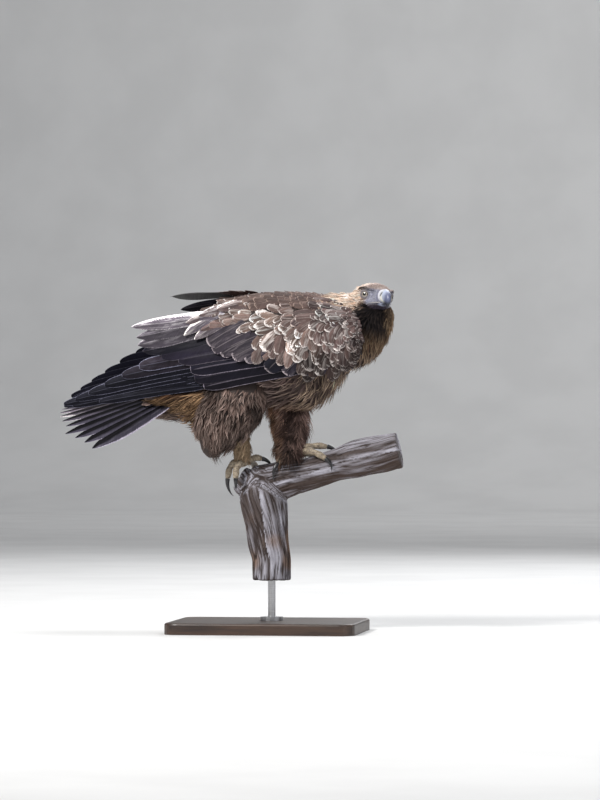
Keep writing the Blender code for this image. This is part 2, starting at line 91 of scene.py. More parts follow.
def cloud(points, size, seed=0):
    # value noise: a fixed random number at each corner of a lattice, blended inside each cell
    p = np.asarray(points) / size + seed * 7.31
    cell = np.floor(p).astype(np.int64)
    t = p - cell
    t = t * t * (3.0 - 2.0 * t)
    total = np.zeros(p.shape[:-1])
    for corner in range(8):
        step = np.array([corner & 1, (corner >> 1) & 1, corner >> 2])
        c = cell + step
        n = (c[..., 0] * 73856093) ^ (c[..., 1] * 19349663) ^ (c[..., 2] * 83492791)
        n = ((n ^ (n >> 13)) * 1274126177) & 0xFFFFFFF
        n = ((n ^ (n >> 11)) * 668265263) & 0xFFFFFFF
        weight = np.prod(np.where(step == 1, t, 1.0 - t), axis=-1)
        total += weight * ((n >> 6) & 0xFFFF) / 65535.0
    return total


# Camera, light and floor
view = dict(azimuth=8.0, distance=9.4, aside=0.0672, height=0.4872, frameHeight=1.68)


def makeCamera():
    azimuth = math.radians(view["azimuth"])
    toward = np.array([math.sin(azimuth), -math.cos(azimuth), 0.0])
    right = np.array([math.cos(azimuth), math.sin(azimuth), 0.0])
    cameraData = bpy.data.cameras.new("camera")
    cameraData.sensor_width = 36.0
    cameraData.lens = 36.0 * view["distance"] / view["frameHeight"]
    cameraData.clip_end = 60.0
    camera = bpy.data.objects.new("camera", cameraData)
    camera.location = toward * view["distance"] + right * view["aside"] + [0, 0, view["height"]]
    camera.rotation_euler = (math.radians(90), 0, azimuth)
    bpy.context.scene.collection.objects.link(camera)
    bpy.context.scene.camera = camera


lamps = [
    # name, place, what it points at, width, height, watts, colour
    ("keySoftbox", (-2.2, -3.2, 3.6), (0.0, 0.0, 0.45), 1.3, 1.3, 240, (1.0, 0.985, 0.96)),
    ("fillSoftbox", (3.2, -3.2, 1.6), (0.05, 0.0, 0.45), 2.4, 2.0, 34, (0.93, 0.96, 1.0)),
    ("topSoftbox", (0.4, 0.6, 4.2), (0.0, 0.0, 0.4), 2.2, 2.2, 95, (1.0, 1.0, 1.0)),
    ("backSoftbox", (1.0, 3.8, 2.6), (0.0, 0.0, 0.45), 2.4, 2.0, 70, (0.97, 0.98, 1.0)),
    ("wallSoftbox", (0.8, 7.6, 4.5), (0.8, 12.5, 1.5), 5.0, 1.5, 90, (1.0, 1.0, 1.0)),
]


def makeLights():
    for name, place, target, width, height, watts, colour in lamps:
        lampData = bpy.data.lights.new(name, "AREA")
        lampData.shape = "RECTANGLE"
        lampData.size, lampData.size_y = width, height
        lampData.energy = watts
        lampData.color = colour
        lamp = bpy.data.objects.new(name, lampData)
        lamp.location = place
        aim = unit(np.subtract(target, place)[None])[0]
        lamp.rotation_euler = (math.acos(-aim[2]), 0, math.atan2(aim[1], aim[0]) - math.pi / 2)
        bpy.context.scene.collection.objects.link(lamp)
    world = bpy.data.worlds.new("studio")
    world.use_nodes = True
    world.node_tree.nodes["Background"].inputs["Color"].default_value = (0.93, 0.95, 1.0, 1.0)
    world.node_tree.nodes["Background"].inputs["Strength"].default_value = 0.27
    bpy.context.scene.world = world
    bpy.context.scene.view_settings.view_transform = "Standard"


# Materials: small helpers, then one function for each finish
def addNode(tree, kind, inputs=None, **settings):
    made = tree.nodes.new("ShaderNode" + kind)
    for key, value in settings.items():
        setattr(made, key, value)
    for key, value in (inputs or {}).items():
        if isinstance(value, bpy.types.NodeSocket):
            tree.links.new(value, made.inputs[key])
        else:
            made.inputs[key].default_value = value
    return made


def calc(tree, operation, a, b=0.0, c=0.0):
    return addNode(tree, "Math", {0: a, 1: b, 2: c}, operation=operation).outputs[0]


def ramp(tree, value, low, high, toLow=0.0, toHigh=1.0):
    inputs = {"Value": value, "From Min": low, "From Max": high, "To Min": toLow, "To Max": toHigh}
    return addNode(tree, "MapRange", inputs, interpolation_type="SMOOTHSTEP").outputs["Result"]


def blendColour(tree, share, a, b, how="MIX"):
    made = tree.nodes.new("ShaderNodeMix")
    made.data_type = "RGBA"
    made.blend_type = how
    for socket, value in ((made.inputs[0], share), (made.inputs[6], a), (made.inputs[7], b)):
        if isinstance(value, bpy.types.NodeSocket):
            tree.links.new(value, socket)
        elif isinstance(value, float):
            socket.default_value = value
        else:
            socket.default_value = (*value[:3], 1.0)
    return made.outputs[2]


def shaded(tree, colour, shade):
    # the colour times a grey of that value
    grey = addNode(tree, "CombineColor", {0: shade, 1: shade, 2: shade}).outputs[0]
    return blendColour(tree, 1.0, colour, grey, "MULTIPLY")


def noise(tree, vector, scale, detail=3.0, roughness=0.5):
    inputs = {"Vector": vector, "Scale": scale, "Detail": detail, "Roughness": roughness}
    return addNode(tree, "TexNoise", inputs).outputs[0]


def stretched(tree, vector, scale):
    return addNode(tree, "VectorMath", {0: vector, 1: scale}, operation="MULTIPLY").outputs[0]


def newMaterial(name, roughness, **constants):
    material = bpy.data.materials.new(name)
    material.use_nodes = True
    tree = material.node_tree
    shader = tree.nodes["Principled BSDF"]
    shader.inputs["Roughness"].default_value = roughness
    for key, value in constants.items():
        shader.inputs[key.replace("_", " ")].default_value = value
    return material, tree, shader


def attribute(tree, name):
    return addNode(tree, "Attribute", attribute_name=name)


def connect(tree, shader, colour, height, strength, distance):
    # the colour as the base colour, and the height as a bump
    tree.links.new(colour, shader.inputs["Base Color"])
    bump = addNode(tree, "Bump", {"Height": height, "Strength": strength, "Distance": distance})
    tree.links.new(bump.outputs["Normal"], shader.inputs["Normal"])


def featherInputs(tree):
    # what a feather's points carry: (across, nearness to the tip, wear), metres on the vane, two colours
    shape = addNode(tree, "SeparateXYZ", {0: attribute(tree, "shape").outputs["Vector"]}).outputs
    body, edge = (attribute(tree, key).outputs["Color"] for key in ("bodyColour", "edgeColour"))
    return shape, attribute(tree, "vane").outputs["Vector"], body, edge


def featherFinish(name, rim, soft, ragged, shaft, barbs=2000.0, roughness=0.62, gloss=0.14,
                  webShading=0.0, split=0.0, crescent=0.0):
    # Colour: the feather's own colour inside, its edge colour where
    # max(|across| - crescent * distance from the tip, nearness to the tip) passes 1 - rim - wear,
    # torn by noise drawn out along the barbs. Painted sheen and shade: one web is painted lighter,
    # as a sheen, and the other darker, as shade, divided at split.
    # Barbs: fine waves that run out and forward from the shaft.
    material, tree, shader = newMaterial(name, roughness, Specular_IOR_Level=gloss)
    shape, vane, body, edge = featherInputs(tree)
    metres = addNode(tree, "SeparateXYZ", {0: vane}).outputs
    sideways = calc(tree, "ABSOLUTE", shape[0])
    slant = calc(tree, "SUBTRACT", metres[1], calc(tree, "MULTIPLY", calc(tree, "ABSOLUTE", metres[0]), 0.9))
    barbPlace = addNode(tree, "CombineXYZ", {0: metres[0], 1: slant, 2: metres[2]}).outputs[0]
    torn = noise(tree, stretched(tree, barbPlace, (28.0, 420.0, 1.0)), 1.0, 3.0, 0.6)
    sideRim = calc(tree, "MULTIPLY_ADD", shape[1], crescent, calc(tree, "SUBTRACT", sideways, crescent))
    rimPlace = calc(tree, "MAXIMUM", sideRim, shape[1])
    tearing = calc(tree, "MULTIPLY_ADD", shape[2], 1.1, ragged)
    rimPlace = calc(tree, "MULTIPLY_ADD", calc(tree, "SUBTRACT", torn, 0.5), tearing, rimPlace)
    start = calc(tree, "MULTIPLY_ADD", shape[2], -0.55, 1.0 - rim)
    pale = calc(tree, "DIVIDE", calc(tree, "SUBTRACT", rimPlace, start), soft)
    faded = ramp(tree, noise(tree, stretched(tree, vane, (170.0, 24.0, 1.0)), 1.0, 3.0, 0.6), 0.46, 0.66)
    faded = calc(tree, "MULTIPLY", faded, shape[2])
    pale = calc(tree, "MULTIPLY_ADD", faded, 1.5, calc(tree, "MAXIMUM", pale, 0.0))
    pale = addNode(tree, "Clamp", {"Value": pale}).outputs[0]
    colour = blendColour(tree, pale, body, edge)
    shaftMask = calc(tree, "MULTIPLY", ramp(tree, sideways, 0.09, 0.02), ramp(tree, shape[1], 0.9, 0.2))
    colour = blendColour(tree, calc(tree, "MULTIPLY", shaftMask, shaft), colour, edge)
    wave = calc(tree, "SINE", calc(tree, "MULTIPLY", slant, barbs * 2.0 * math.pi))
    place = addNode(tree, "TexCoord").outputs["Object"]
    cloudy = ramp(tree, noise(tree, place, 38.0), 0.3, 0.7, 0.82, 1.14)
    shade = calc(tree, "MULTIPLY", cloudy, ramp(tree, torn, 0.2, 0.8, 0.78, 1.18))
    shade = calc(tree, "MULTIPLY", shade, ramp(tree, sideways, 0.0, 0.9, 0.8, 1.16))
    # painted sheen on one web and painted shade on the other
    webSheenAndShade = ramp(tree, shape[0], split - 0.2, split + 0.2, 1.0 - webShading, 1.0 + webShading)
    shade = calc(tree, "MULTIPLY", shade, webSheenAndShade)
    colour = shaded(tree, colour, shade)
    relief = calc(tree, "MULTIPLY_ADD", wave, 0.18, calc(tree, "MULTIPLY", torn, 1.2))
    connect(tree, shader, colour, relief, 0.35, 0.0004)
    return material


def hairFinish(name):
    # Colour: each lock's own colour at its root, its edge colour towards the tip, with fine streaks along it
    material, tree, shader = newMaterial(name, 0.68, Specular_IOR_Level=0.14)
    shape, vane, body, edge = featherInputs(tree)
    streak = noise(tree, stretched(tree, vane, (2600.0, 60.0, 1.0)), 1.0, 2.0, 0.6)
    ragged = calc(tree, "MULTIPLY_ADD", streak, 0.5, calc(tree, "SUBTRACT", shape[1], 0.25))
    towardTip = calc(tree, "MULTIPLY", ramp(tree, ragged, 0.25, 0.95), shape[2])
    colour = blendColour(tree, towardTip, body, edge)
    place = addNode(tree, "TexCoord").outputs["Object"]
    cloudy = ramp(tree, noise(tree, place, 30.0), 0.3, 0.7, 0.82, 1.14)
    shade = calc(tree, "MULTIPLY", cloudy, ramp(tree, streak, 0.25, 0.75, 0.62, 1.3))
    colour = shaded(tree, colour, shade)
    connect(tree, shader, colour, streak, 0.3, 0.0004)
    return material


def skinFinish(name, roughness, grain, depth, specular=0.4, variety=0.12):
    # the colour painted on the points, broken by noise, with a grain of that many cells to the metre
    material, tree, shader = newMaterial(name, roughness, Specular_IOR_Level=specular)
    painted = attribute(tree, "painted").outputs["Color"]
    place = addNode(tree, "TexCoord").outputs["Object"]
    fine = noise(tree, place, grain, 4.0, 0.6)
    broad = noise(tree, place, grain / 9.0)
    shade = calc(tree, "MULTIPLY", ramp(tree, fine, 0.3, 0.7, 1.0 - variety, 1.0 + variety),
                 ramp(tree, broad, 0.3, 0.7, 1.0 - variety, 1.0 + variety))
    colour = shaded(tree, painted, shade)
    connect(tree, shader, colour, fine, 0.4, depth)
    return material


# Meshes from whole arrays
def meshFrom(name, points, triangles):
    mesh = bpy.data.meshes.new(name)
    mesh.vertices.add(len(points))
    mesh.vertices.foreach_set("co", np.asarray(points, np.float32).ravel())
    mesh.loops.add(triangles.size)
    mesh.loops.foreach_set("vertex_index", np.asarray(triangles, np.int32).ravel())
    mesh.polygons.add(len(triangles))
    mesh.polygons.foreach_set("loop_start", np.arange(0, triangles.size, 3, dtype=np.int32))
    mesh.update(calc_edges=True)
    mesh.validate()
    mesh.polygons.foreach_set("use_smooth", np.ones(len(triangles), bool))
    mesh.update()
    return mesh


def addPiece(name, mesh, material, replaces=()):
    piece = bpy.data.objects.new(name, mesh)
    bpy.context.scene.collection.objects.link(piece)
    mesh.materials.clear()
    mesh.materials.append(material)
    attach(piece, "root")
    if replaces:
        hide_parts(*replaces)


def paintedPiece(name, points, triangles, colours, material, replaces=None):
    # a piece with a colour on each point, in place of the CAD node of its own name or of those listed
    mesh = meshFrom(name, points, triangles)
    paintPoints(mesh, "painted", colours)
    addPiece(name, mesh, material, replaces or (name,))


def meshVectors(mesh, key="co"):
    values = np.empty(len(mesh.vertices) * 3, np.float32)
    mesh.vertices.foreach_get(key, values)
    return values.reshape(-1, 3)


def meshCorners(mesh):
    # the point at each corner of each face
    corners = np.empty(len(mesh.loops), np.int32)
    mesh.loops.foreach_get("vertex_index", corners)
    return corners


def paintPoints(mesh, name, colours):
    layer = mesh.attributes.new(name, "FLOAT_COLOR", "POINT")
    opaque = np.column_stack([colours, np.ones(len(colours))])
    layer.data.foreach_set("color", opaque.astype(np.float32).ravel())


def storeVectors(mesh, name, values):
    layer = mesh.attributes.new(name, "FLOAT_VECTOR", "POINT")
    layer.data.foreach_set("vector", values.astype(np.float32).ravel())


def volumeOf(points, triangles):
    a, b, c = (points[triangles[:, k]] for k in range(3))
    return np.sum(a * np.cross(b, c)) / 6.0


def tubeTriangles(rings, corners):
    # rings of corners between a pole at each end: point 0, the rings in order, and the last point
    ring = np.arange(corners)
    after = (ring + 1) % corners
    start = 1 + corners * np.arange(rings - 1)[:, None]
    a, b = start + ring, start + after
    c, d = a + corners, b + corners
    sides = np.concatenate([np.stack([a, b, d], -1), np.stack([a, d, c], -1)]).reshape(-1, 3)
    foot = np.stack([np.zeros_like(ring), 1 + after, 1 + ring], -1)
    last = 1 + corners * (rings - 1)
    top = np.stack([np.full_like(ring, last + corners), last + ring, last + after], -1)
    return np.concatenate([foot, sides, top])


def closedLoft(grid):
    # a grid of rings (rings, corners, 3) as points and triangles, with a pole in the middle of each end
    points = np.concatenate([grid[:1].mean(1), grid.reshape(-1, 3), grid[-1:].mean(1)])
    triangles = tubeTriangles(grid.shape[0], grid.shape[1])
    if volumeOf(points - points.mean(0), triangles) < 0:
        triangles = triangles[:, ::-1]
    return points, triangles


def joinLofts(parts):
    points, triangles, start = [], [], 0
    for somePoints, someTriangles in parts:
        points.append(somePoints)
        triangles.append(someTriangles + start)
        start += len(somePoints)
    return np.concatenate(points), np.concatenate(triangles)


def rings(middle, side, up, half, above, below, corners, squareness=2.0):
    # superellipse rings: middle + side * half * cos^(2/n) + up * (above or below) * sin^(2/n)
    angle = 2.0 * math.pi * np.arange(corners) / corners
    across = np.sign(np.cos(angle)) * np.abs(np.cos(angle)) ** (2.0 / squareness)
    rise = np.sign(np.sin(angle)) * np.abs(np.sin(angle)) ** (2.0 / squareness)
    height = np.where(rise > 0, np.reshape(above, (-1, 1)), np.reshape(below, (-1, 1)))
    return (middle[:, None] + side[:, None] * (across * np.reshape(half, (-1, 1)))[..., None]
            + up[:, None] * (rise * height)[..., None])


def tubeAlong(path, radii, corners, squash=1.0):
    # a ring square to the path at each of its points, turned as little as possible from one to the next
    ahead = unit(np.gradient(path, axis=0))
    side = np.empty_like(path)
    first = np.cross(ahead[0], [0.0, 0.0, 1.0])
    side[0] = unit(first if np.linalg.norm(first) > 0.1 else np.cross(ahead[0], [0.0, 1.0, 0.0]))
    for i in range(1, len(path)):
        side[i] = unit(side[i - 1] - ahead[i] * np.dot(side[i - 1], ahead[i]))
    up = np.cross(side, ahead)
    return rings(path, side, up, radii, radii * squash, radii * squash, corners)


# Sheets: grids of points that feathers walk over, read at (u, v) from 0 to 1
def makeSheet(points, closed, facing=None):
    # normal = dP/du x dP/dv, turned away from each row's middle, or towards facing
    alongU = np.gradient(points, axis=0) * (len(points) - 1)
    if closed:
        alongV = (np.roll(points, -1, axis=1) - np.roll(points, 1, axis=1)) * (points.shape[1] / 2)
        outward = points - points.mean(axis=1, keepdims=True)
    else:
        alongV = np.gradient(points, axis=1) * (points.shape[1] - 1)
        outward = np.zeros_like(points) + facing
    normal = unit(np.cross(alongU, alongV))
    if np.sum(normal * outward) < 0:
        normal = -normal
    return dict(points=points, alongU=alongU, alongV=alongV, normal=normal, closed=closed)


def readSheet(sheet, u, v, *names):
    # blends the four grid corners round (u, v); past the ends of u the points run on straight
    rowCount, columnCount = sheet["points"].shape[:2]
    a = u * (rowCount - 1)
    i = np.clip(np.floor(a), 0, rowCount - 2).astype(int)
    if sheet["closed"]:
        b = np.mod(v, 1.0) * columnCount
        j = np.floor(b).astype(int) % columnCount
        t = b - np.floor(b)
        k = (j + 1) % columnCount
    else:
        b = v * (columnCount - 1)
        j = np.clip(np.floor(b), 0, columnCount - 2).astype(int)
        t = b - j
        k = j + 1
    s = a - i
    found = []
    for name in names:
        grid = sheet[name]
        across, along = (t, s) if name == "points" else (np.clip(t, 0, 1), np.clip(s, 0, 1))
        across, along = across[..., None], along[..., None]
        found.append((grid[i, j] * (1 - along) + grid[i + 1, j] * along) * (1 - across)
                     + (grid[i, k] * (1 - along) + grid[i + 1, k] * along) * across)
    return found


def stepsFor(alongU, alongV, heading):
    # the (du, dv) that moves one metre along a heading in the sheet: the 2 x 2 normal equations
    uu, uv, vv = (np.sum(a * b, -1) for a, b in ((alongU, alongU), (alongU, alongV), (alongV, alongV)))
    hu, hv = np.sum(alongU * heading, -1), np.sum(alongV * heading, -1)
    under = np.maximum(uu * vv - uv * uv, 1e-3 * uu * vv + 1e-12)
    return (vv * hu - uv * hv) / under, (uu * hv - uv * hu) / under


# Feather shapes: half width from root (0) to tip (1) as a share of the widest
def roundedVane(s):
    return (0.3 + 0.7 * np.clip(s / 0.3, 0, 1) ** 0.8) * np.sqrt(1 - np.clip((s - 0.55) / 0.46, 0, 1) ** 2.4)


def pointedVane(s):
    return (0.35 + 0.65 * np.clip(s / 0.35, 0, 1) ** 0.8) * (1 - np.clip((s - 0.35) / 0.66, 0, 1) ** 1.7)


def hairLock(s):
    return (0.5 + 0.5 * np.clip(s / 0.25, 0, 1)) * (1 - s**1.6)


def quillVane(s):
    return (0.25 + 0.75 * np.clip(s / 0.25, 0, 1) ** 0.8) * np.sqrt(1 - np.clip((s - 0.8) / 0.205, 0, 1) ** 2.2)


def taperedVane(s):
    return (0.3 + 0.7 * np.clip(s / 0.3, 0, 1) ** 0.8) * (1 - np.clip((s - 0.55) / 0.452, 0, 1) ** 2.3) ** 0.8


forms = {
    # rings between root and tip, points across the top, outline, gather of rings to the tip
    "covert": dict(rings=8, across=5, outline=roundedVane, gather=1.25, thick=0.0005),
    "hackle": dict(rings=6, across=3, outline=pointedVane, gather=1.1, thick=0.0004),
    "lock": dict(rings=6, across=2, outline=hairLock, gather=1.0, thick=0.0007, hair=True),
    "bristle": dict(rings=3, across=2, outline=hairLock, gather=1.0, thick=0.0003, hair=True),
    "quill": dict(rings=26, across=9, outline=quillVane, gather=1.7, thick=0.0007),
    "tapered": dict(rings=22, across=9, outline=taperedVane, gather=1.5, thick=0.0006),
}


def formGrid(form):
    # s of each ring, across of each point of a ring, and whether a point is on the feather's underside
    stations = np.linspace(0.0, 1.0, form["rings"] + 2)
    stations = 1.0 - (1.0 - stations) ** form["gather"]
    across = np.concatenate([np.linspace(-1.0, 1.0, form["across"]), [0.0]])
    under = np.concatenate([np.zeros(form["across"]), [1.0]])
    if form["across"] == 2:  # a lock: two edges and a ridge, and nothing below
        under[:] = [0.0, 0.0, -1.0]
    return stations, across, under


def packBatch(grid, along, across, sizes, form, looks, tile, rootUv, patch, webBias=0.0):
    # grid: (feathers, stations, points across, 3); the first and last stations shrink to poles
    count, stationCount, ringSize = grid.shape[:3]
    poleRoot, poleTip = grid[:, :1].mean(2), grid[:, -1:].mean(2)
    inner = grid[:, 1:-1].reshape(count, -1, 3)
    points = np.concatenate([poleRoot, inner, poleTip], axis=1)
    triangles = tubeTriangles(stationCount - 2, ringSize)
    if volumeOf(points[0] - points[0].mean(0), triangles) < 0:
        triangles = triangles[:, ::-1]
    sInner = np.repeat(along[1:-1], ringSize)
    s = np.concatenate([[0.0], sInner, [1.0]])
    c = np.concatenate([[0.0], np.tile(across, stationCount - 2), [0.0]])
    length, halfWidth, seed = (sizes[key][:, None] for key in ("length", "halfWidth", "seed"))
    width = np.concatenate([[0.0], np.repeat(form["outline"](along[1:-1]), ringSize), [0.0]])
    wear = looks["wear"][:, None] * np.maximum(1.0 + webBias * c, 0.0)  # one web more worn than the other
    # how near the tip: along the whole lock, or in the last half width of a vane
    nearTip = np.broadcast_to(s, (count, len(s)))
    if not form.get("hair"):
        nearTip = np.clip(1.0 - (1.0 - s) * length / (1.1 * halfWidth), 0.0, 1.0)
    shape = np.stack([np.broadcast_to(c, (count, len(c))), nearTip, wear], -1)
    vane = np.stack([c * width * halfWidth, s * length, np.broadcast_to(seed * 53.0, (count, len(s)))], -1)
    x, y, wide, tall = tile
    uvs = np.stack([x + wide * (rootUv[0][:, None] + patch[0] * 0.5 * c),
                    y + tall * (rootUv[1][:, None] + patch[1] * (s - 0.5))], -1)
    return dict(points=points, triangles=triangles, shape=shape, vane=vane, uvs=uvs,
                body=np.repeat(looks["body"][:, None], len(s), 1),
                edge=np.repeat(looks["edge"][:, None], len(s), 1))


def spread(count, seed, uRange=(0.0, 1.0), vRange=(0.0, 1.0)):
    # even scatter: the n-th root at the fractional parts of n * 0.7549 and n * 0.5698
    n = np.arange(count) + seed * 1000.0
    a, b = np.mod(0.5 + n * 0.7548776662, 1.0), np.mod(0.5 + n * 0.569840291, 1.0)
    return mix(uRange[0], uRange[1], a), mix(vRange[0], vRange[1], b)


def layFeathers(sheet, u, v, way, formName, length, halfWidth, looks, seed, sunk, rise, camber=0.12, roll=0.0,
                turn=0.16, sway=0.0, pointed=0.0, clump=0.0, clumpSize=0.012, tile=(0, 0, 1, 1)):
    # Each shaft walks over the sheet along the lie of the coat. A ring of points stands at every step,
    # at (u, v) + across * half width sideways, and is raised along the sheet's normal by
    # sunk + rise * s + (roll * across - camber * across^2) * width.
    form = forms[formName]
    random = np.random.default_rng(seed)
    count = len(u)
    stations, across, under = formGrid(form)
    length = np.broadcast_to(length, count) * random.uniform(0.86, 1.12, count)
    halfWidth = np.broadcast_to(halfWidth, count) * random.uniform(0.86, 1.14, count)
    angle = random.normal(0.0, turn, count)
    swaySize, swayPhase = random.normal(0.0, sway, count), random.uniform(0, 6.3, count)
    rise = np.broadcast_to(rise, count) * random.uniform(0.7, 1.35, count)
    lay = random.uniform(-0.0006, 0.0006, count)
    if clump:  # neighbours turn, stretch and stand out together
        roots, = readSheet(sheet, u, v, "points")
        angle = angle + clump * 1.4 * (cloud(roots, clumpSize, seed) - 0.5)
        length = length * (1.0 + clump * 1.3 * (cloud(roots, clumpSize * 0.8, seed + 1) - 0.5))
        rise = rise * (1.0 + clump * 2.0 * (cloud(roots, clumpSize, seed + 2) - 0.5))
    rootUv = (u.copy(), v.copy())
    shaftU, shaftV, sideU, sideV = [], [], [], []
    for k, s in enumerate(stations):
        point, normal, alongU, alongV = readSheet(sheet, u, v, "points", "normal", "alongU", "alongV")
        heading = way(point)
        heading = unit(heading - normal * dot(heading, normal))
        side = np.cross(normal, heading)
        bend = angle + swaySize * np.sin(4.5 * s + swayPhase)
        heading = heading * np.cos(bend)[:, None] + side * np.sin(bend)[:, None]
        side = np.cross(normal, heading)
        shaftU.append(u)
        shaftV.append(v)
        aside = stepsFor(alongU, alongV, side)
        sideU.append(aside[0])
        sideV.append(aside[1])
        if k < len(stations) - 1:
            onward = stepsFor(alongU, alongV, heading)
            stride = (stations[k + 1] - s) * length
            u, v = u + onward[0] * stride, v + onward[1] * stride
    shaftU, shaftV, sideU, sideV = (np.stack(x, 1)[..., None] for x in (shaftU, shaftV, sideU, sideV))
    outline = mix(form["outline"](stations), pointedVane(stations), random.uniform(0.0, pointed, (count, 1)))
    outline = outline * (1.0 + 0.05 * random.normal(size=outline.shape) * ease(stations, 0.3, 0.8))
    outline = outline[..., None] * halfWidth[:, None, None]
    reach = outline * across
    points, normals = readSheet(sheet, shaftU + sideU * reach, shaftV + sideV * reach, "points", "normal")
    s = stations[None, :, None]
    height = (sunk + lay[:, None, None] + rise[:, None, None] * s
              + (roll * across - camber * across**2) * outline * 2.0
              - under * form["thick"] * (0.3 + np.minimum(1.0, outline / 0.004)))
    grid = points + normals * height[..., None]
    sizes = dict(length=length, halfWidth=halfWidth, seed=random.uniform(0, 1, count))
    patch = (0.45 / math.sqrt(count),) * 2
    return packBatch(grid, stations, across, sizes, form, looks, tile, rootUv, patch)


def layVanes(rows, place, formName, looks, seed, camber=0.08, roll=0.0, webBias=0.0, tile=(0, 0, 1, 1)):
    # Big feathers laid out flat as (root a, root b, tip a, tip b, sag, half width above, below, height at
    # root, height at tip): the shaft is a quadratic from root to tip pushed aside by sag * length, and
    # place() takes (a, b, height) to its point in space.
    form = forms[formName]
    random = np.random.default_rng(seed)
    rows = np.asarray(rows, float)
    count = len(rows)
    root, tip = rows[:, None, 0:2], rows[:, None, 2:4]
    sag, above, below, low, high = (rows[:, k, None, None] for k in range(4, 9))
    line = tip - root
    aside = np.stack([line[..., 1], -line[..., 0]], -1)
    knee = (root + tip) / 2 + aside * sag
    stations, across, under = formGrid(form)
    s = stations[None, :, None]
    shaft = (1 - s) ** 2 * root + 2 * s * (1 - s) * knee + s**2 * tip
    ahead = unit(2 * (1 - s) * (knee - root) + 2 * s * (tip - knee))
    side = np.stack([ahead[..., 1], -ahead[..., 0]], -1)
    outline = form["outline"](stations)[None, :, None]
    nickPlace = np.broadcast_arrays(s * 30.0, across * 3.0, np.arange(count)[:, None, None] * 9.0)
    nick = 1.0 - 0.05 * cloud(np.stack(nickPlace, -1), 1.0, seed)
    reach = across * outline * np.where(across > 0, above, below) * nick
    flat = shaft[:, :, None] + side[:, :, None] * reach[..., None]
    height = (low + (high - low) * s + (roll * across - camber * across**2) * outline * (above + below)
              - under * form["thick"])
    grid = place(flat[..., 0], flat[..., 1], height)
    sizes = dict(length=np.linalg.norm(line[:, 0], axis=-1), halfWidth=((above + below) / 2)[:, 0, 0],
                 seed=random.uniform(0, 1, count))
    strip = (np.arange(count) + 0.5) / count
    rootUv, patch = (strip, np.full(count, 0.5)), (0.86 / count, 0.94)
    return packBatch(grid, stations, across, sizes, form, looks, tile, rootUv, patch, webBias)


def featherPiece(name, batches, material, replaces=()):
    # all batches of feathers as one mesh, with its colours, its shape attributes and its OFBake map
    points, triangles, start = [], [], 0
    for batch in batches:
        count, size = batch["points"].shape[:2]
        points.append(batch["points"].reshape(-1, 3))
        offsets = start + size * np.arange(count)[:, None, None]
        triangles.append((batch["triangles"][None] + offsets).reshape(-1, 3))
        start += count * size
    points, triangles = np.concatenate(points), np.concatenate(triangles)
    mesh = meshFrom(name, points, triangles)
    for store, key, layerName in ((storeVectors, "shape", "shape"), (storeVectors, "vane", "vane"),
                                  (paintPoints, "body", "bodyColour"), (paintPoints, "edge", "edgeColour")):
        store(mesh, layerName, np.concatenate([batch[key].reshape(-1, 3) for batch in batches]))
    uvs = np.concatenate([batch["uvs"].reshape(-1, 2) for batch in batches])[meshCorners(mesh)]
    mesh.uv_layers.new(name="OFBake").data.foreach_set("uv", uvs.astype(np.float32).ravel())
    mesh.set_sharp_from_angle(angle=math.radians(75))
    addPiece(name, mesh, material, replaces)
    print(f"{name}: {len(triangles)} triangles")


def feathersLook(random, count, body, edge, wear, variety=0.16):
    # one body colour, edge colour and wear for each feather, lighter or darker by chance
    tone = np.exp(random.normal(0.0, variety, (count, 1)))
    rimTone = np.exp(random.normal(-0.05, 0.5 * variety + 0.1, (count, 1)))
    return dict(body=np.broadcast_to(body, (count, 3)) * tone,
                edge=np.minimum(np.broadcast_to(edge, (count, 3)) * rimTone, 0.9),
                wear=np.clip(np.broadcast_to(wear, count) + random.normal(0.0, 0.06, count), 0.0, 1.0))


# Trunk and neck, as the solids have them, drawn in by the depth of the coat
trunk = dict(
    # x, top, underside, half width
    rows=[(-0.262, 0.486, 0.458, 0.018), (-0.225, 0.545, 0.446, 0.045), (-0.18, 0.628, 0.44, 0.062),
          (-0.12, 0.684, 0.448, 0.076), (-0.05, 0.711, 0.468, 0.09), (0.02, 0.719, 0.47, 0.095),
          (0.09, 0.717, 0.464, 0.09), (0.14, 0.706, 0.503, 0.078), (0.172, 0.682, 0.548, 0.058)],
    coat=0.008, flesh=0.014)


def trunkRings(inset, count=60, corners=72):
    x, top, under, half = smoothRows(trunk["rows"], count).T
    top, under, half = top - inset, under + inset, half - np.minimum(inset, half * 0.6)
    widest = under + 0.55 * (top - under)
    middle = np.stack([x, 0 * x, widest], -1)
    side, up = np.zeros_like(middle), np.zeros_like(middle)
    side[:, 1], up[:, 2] = 1.0, 1.0
    return rings(middle, side, up, half, top - widest, widest - under, corners, 2.2)


neck = dict(
    # x, y, z, to the nape, to the throat, half width
    rows=[(0.08, 0.0, 0.618, 0.08, 0.09, 0.074), (0.14, 0.0, 0.628, 0.084, 0.088, 0.07),
          (0.186, 0.0, 0.648, 0.076, 0.084, 0.062), (0.214, 0.002, 0.678, 0.061, 0.062, 0.053),
          (0.222, 0.002, 0.7, 0.042, 0.045, 0.04)],
    coat=0.007, flesh=0.011)


def neckRings(inset, count=50, corners=72):
    rows = smoothRows(neck["rows"], count)
    middle = rows[:, :3]
    ahead = unit(np.gradient(middle, axis=0))
    side = unit(np.array([[0.0, 1.0, 0.0]]) - ahead * ahead[:, 1:2])
    up = np.cross(ahead, side)
    grid = rings(middle, side, up, rows[:, 5] - inset, rows[:, 3] - inset, rows[:, 4] - inset, corners)
    # the hackles stand up towards the back of the head
    lift = 0.006 * ease(grid[..., 0], 0.14, 0.185) * ease(grid[..., 2], 0.675, 0.705)
    return grid + np.array([0.0, 0.0, 1.0]) * lift[..., None]


